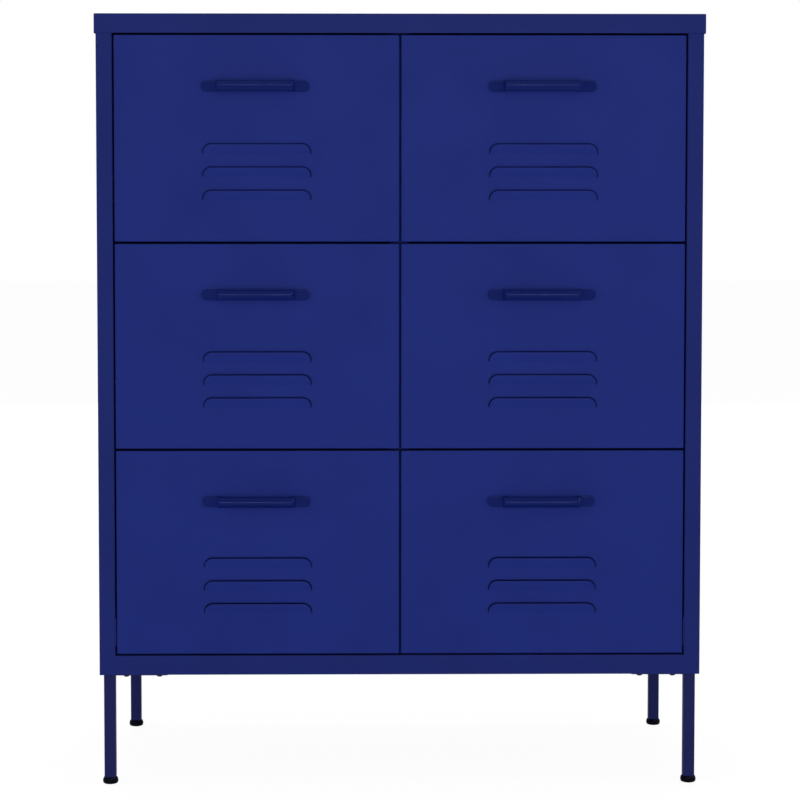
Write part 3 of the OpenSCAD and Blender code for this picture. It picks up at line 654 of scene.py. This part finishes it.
def leg(name, sx, sy):
    """A square tube with softened ends, and the L-shaped plate that it is welded to."""
    x, y = leg_centre(sx, sy)
    bm = bmesh.new()
    half = (LEG_W / 2,) * 2
    bore = (LEG_W / 2 - LEG_WALL,) * 2
    z_top = Z_FLOOR - PLATE_T
    soft = 0.25
    loops = [rounded_loop(bm, "z", (x, y), bore, LEG_CORNER - LEG_WALL, z_top - TOUCH),
        rounded_loop(bm, "z", (x, y), bore, LEG_CORNER - LEG_WALL, FOOT_H + soft),
        rounded_loop(bm, "z", (x, y), (bore[0] + soft,) * 2, LEG_CORNER - LEG_WALL + soft, FOOT_H),
        rounded_loop(bm, "z", (x, y), (half[0] - soft,) * 2, LEG_CORNER - soft, FOOT_H),
        rounded_loop(bm, "z", (x, y), half, LEG_CORNER, FOOT_H + soft),
        rounded_loop(bm, "z", (x, y), half, LEG_CORNER, z_top - TOUCH)]
    shell(bm, loops + loops[:1])
    corner_x, corner_y = sx * (X_SIDE - LEG_INSET), Y_MID + sy * (HALF_D - LEG_INSET)
    outline = [(0, 0), (PLATE_ARM, 0), (PLATE_ARM, PLATE_W), (PLATE_W, PLATE_W),
        (PLATE_W, PLATE_ARM), (0, PLATE_ARM)]
    rounded = rounded_outline(outline, PLATE_CORNERS)
    faces = []
    for z in (z_top, Z_FLOOR):
        faces.append([bm.verts.new((corner_x - sx * a, corner_y - sy * b, z)) for a, b in rounded])
    shell(bm, faces, first=True, last=True)
    piece(f"leg_and_plate_{name}", bm, leg_paint, "case", "blue_powder_coat", f"leg_{name}")


def rounded_outline(points, radii, steps=5):
    """A closed outline with round corners."""
    line, count = [], len(points)
    for i, radius in enumerate(radii):
        trio = [points[i - 1], points[i], points[(i + 1) % count]]
        line += fillet(trio, (radius,), steps)[1:-1]
    return line


def foot(name, sx, sy):
    """A moulded pad, round below and above its rim, with a threaded stud."""
    centre = leg_centre(sx, sy)
    r, h = FOOT_D / 2, FOOT_H
    below = [math.radians(a) for a in range(15, 91, 15)]
    above = [math.radians(a) for a in range(10, 91, 10)]
    profile = [(0.0, 0.0), (0.70 * r, 0.0), (0.76 * r, 0.15)]
    profile += [(r * (0.80 + 0.2 * math.sin(a)), h * (0.40 - 0.36 * math.cos(a))) for a in below]
    profile += [(r * (0.76 + 0.24 * math.cos(a)), h * (0.42 + 0.56 * math.sin(a))) for a in above]
    profile += [(0.70 * r, h), (0.0, h)]
    bm = bmesh.new()
    lathe(bm, profile, centre)
    thread(bm, centre, STUD_D / 2, FOOT_H - STUD_IN, FOOT_H + STUD_LEN)
    piece(f"levelling_foot_{name}", bm, black_plastic, f"foot_{name}", "black_plastic",
        f"foot_{name}", smooth=45)


def thread(bm, centre, radius, z0, z1, pitch=1.25, steps=20):
    """A stud with a real helical thread between two plain ends."""
    depth = 0.6
    turns = (z1 - z0) / pitch - 1
    rows = []
    for k in range(int(turns * steps) + 1):
        angle = 2 * math.pi * k / steps
        z = z0 + pitch * k / steps
        rows.append([bm.verts.new((centre[0] + q * math.cos(angle), centre[1] + q * math.sin(angle),
            z + h * pitch)) for q, h in ((radius - depth, 0.0), (radius, 0.42), (radius, 0.55),
            (radius - depth, 0.97))])
    strips = list(zip(*rows))
    for one, two in zip(strips, strips[1:]):
        strip(bm, one, two)
    # The root between one turn and the next, and the two ends
    for i in range(len(rows) - steps):
        if i + steps + 1 < len(rows):
            bm.faces.new((rows[i][3], rows[i + 1][3], rows[i + steps + 1][0], rows[i + steps][0]))
    core = radius - depth - 2 * TOUCH
    lathe(bm, [(0.0, z0), (core, z0), (core, z1), (0.0, z1)], centre, steps)


for sx, side in ((-1, "left"), (1, "right")):
    for sy, depth in ((-1, "front"), (1, "rear")):
        leg(f"{depth}_{side}", sx, sy)
        foot(f"{depth}_{side}", sx, sy)


# ---- Inside the case --------------------------------------------------------------------------
def centre_partition():
    """A hollow upright folded from one sheet, notched at its foot for the floor's rear fold."""
    half, front = PARTITION_W / 2, Y_BOX + BOX_CLEAR
    notch, rear = Z_FLOOR + FLOOR_FLANGE + SEAM, Y_BACK_SHEET - 2 * CASE_T
    walls = [(-half, front), (half, front)]
    bm = bmesh.new()
    folded_sheet(bm, [(-half, rear)] + walls + [(half, rear)], CASE_T, "z",
        (Z_FLOOR + CASE_T, notch))
    folded_sheet(bm, [(-half + PARTITION_LIP, Y_BACK_SHEET), (-half, Y_BACK_SHEET)] + walls
        + [(half, Y_BACK_SHEET), (half - PARTITION_LIP, Y_BACK_SHEET)], CASE_T, "z",
        (notch, Z_TOP - CASE_T))
    case_piece("centre_upright", bm, "centre_partition")


def slide_posts():
    """Hat-shaped posts welded to the side sheets."""
    wall, face = X_SIDE - CASE_T, X_POST + CASE_T
    bm = bmesh.new()
    for side in (-1, 1):
        for place in POST_PLACES:
            path = [(wall, POST_W + POST_LIP), (wall, POST_W), (face, POST_W), (face, 0.0),
                (wall, 0.0), (wall, -POST_LIP)]
            folded_sheet(bm, [(side * x, Y_FRONT + place + y) for x, y in path], -side * CASE_T,
                "z", (Z_FLOOR + FLOOR_FLANGE + 2 * SEAM, Z_TOP - 2 * CASE_T - 2 * SEAM))
    case_piece("hat_posts", bm, "slide_posts")


def back_panel():
    """A flat sheet with two holes for wall screws."""
    low, high = extent("back_panel")
    holes = [(side * ANCHOR_PITCH / 2, Z_TOP - ANCHOR_DROP) for side in (-1, 1)]
    steps = 32
    points = [(low.x, low.z), (high.x, low.z), (high.x, high.z), (low.x, high.z)]
    edges = [(i, (i + 1) % 4) for i in range(4)]
    for x, z in holes:
        start = len(points)
        points += [(x + ANCHOR_D / 2 * math.cos(2 * math.pi * k / steps),
            z + ANCHOR_D / 2 * math.sin(2 * math.pi * k / steps)) for k in range(steps)]
        edges += [(start + k, start + (k + 1) % steps) for k in range(steps)]
    verts, _, faces, *_ = delaunay_2d_cdt([Vector(p) for p in points], edges, [], 1, 1e-5)
    bm = bmesh.new()
    sides = [[bm.verts.new((v.x, y, v.y)) for v in verts] for y in (low.y, high.y)]
    uses = {}
    for face in faces:
        centre = sum((verts[i] for i in face), Vector((0, 0))) / 3
        if any((centre - Vector(hole)).length < ANCHOR_D / 2 for hole in holes):
            continue
        for side, turn in zip(sides, (face, face[::-1])):
            bm.faces.new([side[i] for i in turn])
        for pair in zip(face, face[1:] + face[:1]):
            uses[frozenset(pair)] = uses.get(frozenset(pair), 0) + 1
    for a, b in (tuple(pair) for pair, count in uses.items() if count == 1):
        bm.faces.new((sides[0][a], sides[0][b], sides[1][b], sides[1][a]))
    case_piece("back_sheet", bm, "back_panel")


def slide_faces(column):
    """Where a column's slides start and which way they grow, as (x, direction)."""
    side = -1 if column == "left" else 1
    return [(side * X_POST, -side), (side * PARTITION_W / 2, side)]


def slide_height(row, column):
    return extent(f"front_{row}_{column}")[0].z + SLIDE_RISE


def case_slides(column):
    """Rolled channels with lips that keep the balls in, and a stop at the rear."""
    half, lip, stop = SLIDE_H / 2, 2.5, MEMBER_HALF + 1
    bm = bmesh.new()
    for row in ROWS:
        z = slide_height(row, column)
        for x, way in slide_faces(column):
            path = [(CASE_REACH, -half + lip), (CASE_REACH, -half), (0, -half), (0, half),
                (CASE_REACH, half), (CASE_REACH, half - lip)]
            folded_sheet(bm, [(x + way * u, z + v) for u, v in path], -way * SLIDE_STEEL, "y",
                (Y_SLIDE, Y_SLIDE + SLIDE_LEN), radius=CASE_BEND)
            ends = sorted((x + way * SLIDE_STEEL, x + way * CASE_REACH))
            block(bm, (ends[0], Y_SLIDE + SLIDE_LEN - SLIDE_STEEL, z - stop),
                (ends[1], Y_SLIDE + SLIDE_LEN, z + stop))
    piece(f"case_channels_{column}", bm, zinc, "case", "zinc_steel", f"case_slides_{column}")


def drawer_slides(row, column):
    """The narrower channels on the drawer, open towards the case's, with round corners for the
    balls."""
    z = slide_height(row, column)
    bm = bmesh.new()
    for x, way in slide_faces(column):
        path = [(MEMBER_IN, -MEMBER_HALF), (SLIDE_T, -MEMBER_HALF), (SLIDE_T, MEMBER_HALF),
            (MEMBER_IN, MEMBER_HALF)]
        folded_sheet(bm, [(x + way * u, z + v) for u, v in path], way * SLIDE_STEEL, "y",
            (Y_SLIDE, Y_SLIDE + MEMBER_LEN), radius=MEMBER_BEND)
    piece(f"drawer_channels_{row}_{column}", bm, zinc, f"drawer_{row}_{column}", "zinc_steel",
        f"slides_{row}_{column}")


# ---- Screws, nuts and balls, grown on points ----------------------------------------------------
def copies_tree(name, sizes, shape):
    """A tree that puts a shape on every point, its Z along the point's facing. The named sizes are
    in metres, and the shape gets the tree's inputs."""
    tree = bpy.data.node_groups.new(name, "GeometryNodeTree")
    kinds = [("Points", "Geometry"), *((size, "Float") for size in sizes), ("Finish", "Material")]
    for label, kind in kinds:
        tree.interface.new_socket(label, in_out="INPUT", socket_type="NodeSocket" + kind)
    tree.interface.new_socket("Copies", in_out="OUTPUT", socket_type="NodeSocketGeometry")
    inputs = add(tree, "NodeGroupInput").outputs
    facing = add(tree, "GeometryNodeInputNamedAttribute", {"Name": "facing"},
        data_type="FLOAT_VECTOR")
    turn = add(tree, "FunctionNodeAlignRotationToVector", {"Vector": facing.outputs[0]}, axis="Z")
    placed = add(tree, "GeometryNodeInstanceOnPoints", {"Points": inputs["Points"],
        "Instance": shape(tree, inputs), "Rotation": turn.outputs[0]})
    real = add(tree, "GeometryNodeRealizeInstances", {"Geometry": placed.outputs[0]})
    done = add(tree, "GeometryNodeSetMaterial", {"Geometry": real.outputs[0],
        "Material": inputs["Finish"]})
    out = add(tree, "NodeGroupOutput")
    tree.links.new(done.outputs[0], out.inputs[0])
    return tree


def half_of(tree, socket):
    return maths(tree, "MULTIPLY", socket, 0.5)


def moved_up(tree, shape, height):
    place = add(tree, "ShaderNodeCombineXYZ", {2: height})
    return add(tree, "GeometryNodeTransform", {"Geometry": shape,
        "Translation": place.outputs[0]}).outputs[0]


def crosshead(tree, inputs):
    """A pan head with a cross recess, and a plain shank below it."""
    wide, tall = inputs["Head diameter"], inputs["Head height"]
    drum = add(tree, "GeometryNodeMeshCylinder", {"Vertices": 24, "Side Segments": 5,
        "Radius": half_of(tree, wide), "Depth": tall}).outputs[0]
    drum = moved_up(tree, drum, half_of(tree, tall))
    # The drum narrows upwards into a dome
    spot = add(tree, "GeometryNodeInputPosition")
    apart = add(tree, "ShaderNodeSeparateXYZ", {0: spot.outputs[0]}).outputs
    rise = maths(tree, "DIVIDE", apart[2], tall)
    width = maths(tree, "SQRT",
        maths(tree, "MULTIPLY_ADD", maths(tree, "POWER", rise, 2.0), -0.8, 1.0))
    new_x, new_y = (maths(tree, "MULTIPLY", apart[i], width) for i in (0, 1))
    domed = add(tree, "ShaderNodeCombineXYZ", {0: new_x, 1: new_y, 2: apart[2]})
    head = add(tree, "GeometryNodeSetPosition", {"Geometry": drum, "Position": domed.outputs[0]})
    bars = add(tree, "GeometryNodeMeshBoolean", {"Mesh 1": head.outputs[0]}, operation="DIFFERENCE")
    for long, thin in ((0.52, 0.13), (0.13, 0.52)):
        size = add(tree, "ShaderNodeCombineXYZ", {0: maths(tree, "MULTIPLY", wide, long),
            1: maths(tree, "MULTIPLY", wide, thin), 2: tall})
        bar = add(tree, "GeometryNodeMeshCube", {"Size": size.outputs[0]})
        tree.links.new(moved_up(tree, bar.outputs[0], tall), bars.inputs["Mesh 2"])
    shank = add(tree, "GeometryNodeMeshCylinder", {"Vertices": 16,
        "Radius": half_of(tree, inputs["Shank diameter"]), "Depth": inputs["Shank length"]})
    depth = maths(tree, "MULTIPLY", inputs["Shank length"], -0.5)
    shank = moved_up(tree, shank.outputs[0], depth)
    whole = add(tree, "GeometryNodeJoinGeometry", {0: bars.outputs[0]})
    tree.links.new(shank, whole.inputs[0])
    return whole.outputs[0]


def hexagon(tree, inputs):
    nut = add(tree, "GeometryNodeMeshCylinder", {"Vertices": 6, "Side Segments": 1,
        "Radius": half_of(tree, inputs["Across corners"]), "Depth": inputs["Height"]})
    return moved_up(tree, nut.outputs[0], half_of(tree, inputs["Height"]))


def ball(tree, inputs):
    return add(tree, "GeometryNodeMeshIcoSphere", {"Radius": half_of(tree, inputs["Diameter"]),
        "Subdivisions": 2}).outputs[0]


screws_tree = copies_tree("crosshead_screws",
    ("Head diameter", "Head height", "Shank diameter", "Shank length"), crosshead)
nuts_tree = copies_tree("hexagon_nuts", ("Across corners", "Height"), hexagon)
balls_tree = copies_tree("steel_balls", ("Diameter",), ball)


def grown(bm, tree, places, finish, **sizes):
    """Adds a tree's copies to a mesh in millimetres. Places are (point, facing) pairs."""
    mesh = bpy.data.meshes.new("places")
    mesh.from_pydata([Vector(point) * MM for point, _ in places], [], [])
    facing = mesh.attributes.new("facing", "FLOAT_VECTOR", "POINT")
    facing.data.foreach_set("vector", [c for _, way in places for c in way])
    obj = bpy.data.objects.new("places", mesh)
    bpy.context.scene.collection.objects.link(obj)
    modifier = obj.modifiers.new("copies", "NODES")
    modifier.node_group = tree
    for item in tree.interface.items_tree:
        key = item.name.lower().replace(" ", "_")
        if item.in_out == "INPUT" and key in sizes:
            modifier[item.identifier] = sizes[key] * MM
        elif item.name == "Finish":
            modifier[item.identifier] = finish
    done = bpy.data.meshes.new_from_object(obj.evaluated_get(bpy.context.evaluated_depsgraph_get()))
    bpy.data.objects.remove(obj)
    start = len(bm.verts)
    bm.from_mesh(done)
    bm.verts.ensure_lookup_table()
    bmesh.ops.scale(bm, vec=(1 / MM,) * 3, verts=bm.verts[start:])
    bpy.data.meshes.remove(done)


M5 = {"head_diameter": 9.4, "head_height": 3.0, "shank_diameter": 5.0}
M4 = {"head_diameter": 8.0, "head_height": 1.7, "shank_diameter": 4.0}
TAPPING = {"head_diameter": 7.0, "head_height": 1.6, "shank_diameter": 3.5}
NUT_ACROSS, NUT_H = 8.0, 4.0
# How far shanks reach past sheets, nuts and channels, and stop short of a handle's pad
PAST_SHEET, PAST_NUT, PAST_CHANNEL, PAD_SKIN = 3.0, 1.5, 1.0, 0.8
# Screws from the box's corners, and from the slides' two ends
BOX_SCREW_IN, BOX_SCREW_UP, SLIDE_SCREW_FRONT, SLIDE_SCREW_REAR = 9.0, 30.0, 40.0, 50.0
BACKWARDS, UPWARDS, DOWNWARDS = (0, 1, 0), (0, 0, 1), (0, 0, -1)


def case_screws():
    """Tapping screws through the side sheets' rear folds and through the back sheet."""
    low, high, n = Z_FLOOR + SCREW_MARGIN, Z_TOP - SCREW_MARGIN, 4
    places = [((side * (X_SIDE - FLANGE_W / 2), Y_BACK, low + (high - low) * i / (n - 1)),
        BACKWARDS) for side in (-1, 1) for i in range(n)]
    places += [((side * X_SIDE / 2, Y_BACK - CASE_T, Z_FLOOR + FLOOR_FLANGE / 2), BACKWARDS)
        for side in (-1, 1)]
    places += [((side * (PARTITION_W - PARTITION_LIP) / 2, Y_BACK - CASE_T, z), BACKWARDS)
        for side in (-1, 1) for z in (low, (Z_FLOOR + Z_TOP) / 2, high)]
    bm = bmesh.new()
    grown(bm, screws_tree, places, zinc, shank_length=2 * CASE_T + PAST_SHEET, **TAPPING)
    piece("rear_tapping_screws", bm, zinc, "case", "zinc_steel", "case_screws", smooth=35)


def leg_fasteners():
    """Three screws up through each leg's plate and the floor, with their nuts inside."""
    spots = [(sx * (X_SIDE - LEG_C - dx), Y_MID + sy * (HALF_D - LEG_C - dy))
        for sx in (-1, 1) for sy in (-1, 1)
        for dx, dy in ((SCREW_NEAR, 0), (SCREW_FAR, 0), (0, SCREW_FAR))]
    bm = bmesh.new()
    grown(bm, screws_tree, [((x, y, Z_FLOOR - PLATE_T), DOWNWARDS) for x, y in spots], black_zinc,
        shank_length=PLATE_T + CASE_T + NUT_H + PAST_NUT, **M5)
    grown(bm, nuts_tree, [((x, y, Z_FLOOR + CASE_T), UPWARDS) for x, y in spots], black_zinc,
        across_corners=NUT_ACROSS / math.cos(math.radians(30)), height=NUT_H)
    piece("leg_screws_and_nuts", bm, black_zinc, "case", "black_zinc", "leg_fasteners", smooth=35)


def drawer_screws(row, column):
    """Two screws behind the handle, four from the box into the front, four into the slides."""
    low, high = extent(f"box_{row}_{column}")
    handle_low, handle_high = extent(f"handle_{row}_{column}")
    handle = (handle_low + handle_high) / 2
    bm = bmesh.new()
    grown(bm, screws_tree, [((handle.x + side * HANDLE_PITCH / 2, Y_FRONT + DRAWER_T, handle.z),
        BACKWARDS) for side in (-1, 1)], zinc, shank_length=DRAWER_T + PAD_T - PAD_SKIN, **M4)
    grown(bm, screws_tree, [((x, Y_BOX + DRAWER_T, z), BACKWARDS)
        for x in (low.x + BOX_SCREW_IN, high.x - BOX_SCREW_IN)
        for z in (low.z + BOX_SCREW_UP, high.z - BOX_SCREW_UP)], zinc,
        shank_length=2 * DRAWER_T + PAST_SHEET, **M4)
    z = slide_height(row, column)
    along = (SLIDE_SCREW_FRONT, SLIDE_LEN - SLIDE_SCREW_REAR)
    places = [((x + way * (SLIDE_T + DRAWER_T), Y_SLIDE + y, z), (way, 0, 0))
        for x, way in slide_faces(column) for y in along]
    grown(bm, screws_tree, places, zinc, shank_length=DRAWER_T + SLIDE_STEEL + PAST_CHANNEL, **M4)
    piece(f"drawer_screws_{row}_{column}", bm, zinc, f"drawer_{row}_{column}", "zinc_steel",
        f"screws_{row}_{column}", smooth=35)


def ball_cages(row, column):
    """Folded strips that carry the balls between the two channels."""
    low, high = extent(f"cages_{row}_{column}")
    z, y0, y1 = (low.z + high.z) / 2, low.y, high.y
    race = (high.z - low.z - BALL_D) / 2
    mid_u = (MEMBER_IN + CASE_REACH) / 2
    near, far = SLIDE_STEEL + CAGE_OFF, mid_u + BALL_D / 2 + CAGE_PAST_BALL
    pitch = (y1 - y0) / BALLS
    bm = bmesh.new()
    places = []
    for x, way in slide_faces(column):
        path = [(far, -race - CAGE_T / 2), (near, -race - CAGE_T / 2), (near, race + CAGE_T / 2),
            (far, race + CAGE_T / 2)]
        folded_sheet(bm, [(x + way * u, z + v) for u, v in path], -way * CAGE_T, "y", (y0, y1),
            radius=CAGE_BEND)
        places += [((x + way * mid_u, y0 + (i + 0.5) * pitch, z + side * race), UPWARDS)
            for side in (-1, 1) for i in range(BALLS)]
    grown(bm, balls_tree, places, zinc, diameter=BALL_D)
    piece(f"ball_strips_{row}_{column}", bm, zinc, f"ball_cages_{row}_{column}", "zinc_steel",
        f"cages_{row}_{column}", smooth=50)


centre_partition()
slide_posts()
back_panel()
case_screws()
leg_fasteners()
for column in COLUMNS:
    case_slides(column)
    for row in ROWS:
        drawer_slides(row, column)
        drawer_screws(row, column)
        ball_cages(row, column)


# ---- Finishes of the CAD nodes that stay ---------------------------------------------------------
for node, finish in [("drawer_stops", black_rubber), ("leg_inserts", black_plastic)]:
    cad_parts[node].data.materials.clear()
    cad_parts[node].data.materials.append(finish)


# ---- Floor, light and camera ------------------------------------------------------------------
def background_rays(tree):
    """1 for the rays that show the background: straight to the camera, mirrored, or let through."""
    path = add(tree, "ShaderNodeLightPath").outputs
    mirrored = maths(tree, "MAXIMUM", path["Is Camera Ray"], path["Is Glossy Ray"])
    return maths(tree, "MAXIMUM", mirrored, path["Is Transmission Ray"])


FLOOR_GLOW, FLOOR_MATT, FLOOR_HALF = 0.94, 0.1, 30.0


def white_floor():
    """A white floor that keeps the object's shadow. Where it is seen, most of its white is a plain
    glow, so that the shadow stays as faint as in a product picture."""
    material, tree = new_material("pale_studio_floor")
    glow = add(tree, "ShaderNodeEmission", {"Color": (1, 1, 1, 1), "Strength": FLOOR_GLOW})
    faint = add(tree, "ShaderNodeBsdfDiffuse", {"Color": (*(FLOOR_MATT,) * 3, 1)})
    seen = add(tree, "ShaderNodeAddShader", {0: glow.outputs[0], 1: faint.outputs[0]})
    matt = add(tree, "ShaderNodeBsdfDiffuse", {"Color": linear("#F0F0F0")})
    mix = add(tree, "ShaderNodeMixShader", {0: background_rays(tree), 1: matt.outputs[0],
        2: seen.outputs[0]})
    add(tree, "ShaderNodeOutputMaterial", {"Surface": mix.outputs[0]})
    bm = bmesh.new()
    bmesh.ops.create_grid(bm, x_segments=1, y_segments=1, size=FLOOR_HALF)
    mesh = bpy.data.meshes.new("floor")
    bm.to_mesh(mesh)
    bm.free()
    floor = bpy.data.objects.new("floor", mesh)
    floor.data.materials.append(material)
    bpy.context.scene.collection.objects.link(floor)


def studio_world(light):
    """A white background, and a softer even light on every surface."""
    world = bpy.data.worlds.new("studio")
    world.use_nodes = True
    tree = world.node_tree
    tree.nodes.clear()
    even = add(tree, "ShaderNodeBackground", {"Color": (1, 1, 1, 1), "Strength": light})
    white = add(tree, "ShaderNodeBackground", {"Color": (1, 1, 1, 1), "Strength": 1.0})
    mix = add(tree, "ShaderNodeMixShader", {0: background_rays(tree), 1: even.outputs[0],
        2: white.outputs[0]})
    add(tree, "ShaderNodeOutputWorld", {"Surface": mix.outputs[0]})
    bpy.context.scene.world = world


def softbox(name, place, target, size, glow, mirrored=True, matt=True):
    """A rectangular lamp that looks at a point. Sizes in metres; glow 1 is as bright as white.
    Its light can be kept out of the glossy reflections or out of the matt ones."""
    data = bpy.data.lights.new(name, "AREA")
    data.shape = "RECTANGLE"
    data.size, data.size_y = size
    data.energy = glow * math.pi * size[0] * size[1]
    obj = bpy.data.objects.new(name, data)
    obj.location = place
    obj.rotation_mode = "QUATERNION"
    obj.rotation_quaternion = (Vector(target) - Vector(place)).to_track_quat("-Z", "Y")
    obj.visible_glossy = mirrored
    obj.visible_diffuse = matt
    bpy.context.scene.collection.objects.link(obj)


# The photograph's framing. Most of its lens shift is traded for a slight tilt and a lower place, so
# that the cabinet also stays in the picture when it is seen from other sides
LENS, SHIFT = 92.07, (0.0285, -0.0817)
CAMERA_PLACE = (-0.0590, Y_FRONT * MM - 2.688, 0.7293)
YAW, PITCH = math.radians(0.613), math.radians(-2.778)


def camera():
    data = bpy.data.cameras.new("camera")
    data.sensor_width = 36.0
    data.lens = LENS
    data.shift_x, data.shift_y = SHIFT
    obj = bpy.data.objects.new("camera", data)
    obj.location = CAMERA_PLACE
    ahead = Vector((math.sin(YAW) * math.cos(PITCH), math.cos(YAW) * math.cos(PITCH),
        math.sin(PITCH)))
    obj.rotation_mode = "QUATERNION"
    obj.rotation_quaternion = ahead.to_track_quat("-Z", "Y")
    bpy.context.scene.collection.objects.link(obj)
    bpy.context.scene.camera = obj


# Lamps, as (name, place, target, size, glow). The fills light the matt paint and aren't mirrored.
FILLS = [
    ("front_fill", (-0.06, -6.0, 1.0), (0.0, 0.0, 0.9), (1.6, 1.2), 10.8),
    ("back_fill", (0.0, 6.0, 1.05), (0.0, 0.0, 1.05), (5.0, 2.2), 3.4),
    ("left_fill", (-6.0, -2.0, 1.05), (0.0, 0.0, 1.05), (5.0, 2.2), 3.4),
    ("right_fill", (6.0, -2.0, 1.05), (0.0, 0.0, 1.05), (5.0, 2.2), 3.4),
    ("top_fill", (0.0, 0.3, 5.0), (0.0, 0.0, 0.0), (2.0, 2.0), 4.5),
    ("low_fill", (0.0, -2.6, 0.3), (0.0, 0.0, 0.3), (3.0, 0.5), 3.0)]
# The highlights are only mirrored: the line along the handles' ridges, and their right shoulders
HIGHLIGHTS = [
    ("ridge_light", (0.1, -4.6, 3.1), (0.0, 0.0, 0.7), (2.6, 1.8), 17.0),
    ("key_light", (2.8, -0.95, 3.6), (0.0, 0.0, 0.6), (1.8, 1.8), 28.0)]

WORLD_LIGHT = 0.4

white_floor()
studio_world(WORLD_LIGHT)
for lamp in FILLS:
    softbox(*lamp, mirrored=False)
for lamp in HIGHLIGHTS:
    softbox(*lamp, matt=False)
camera()
bpy.context.scene.view_settings.view_transform = "Standard"
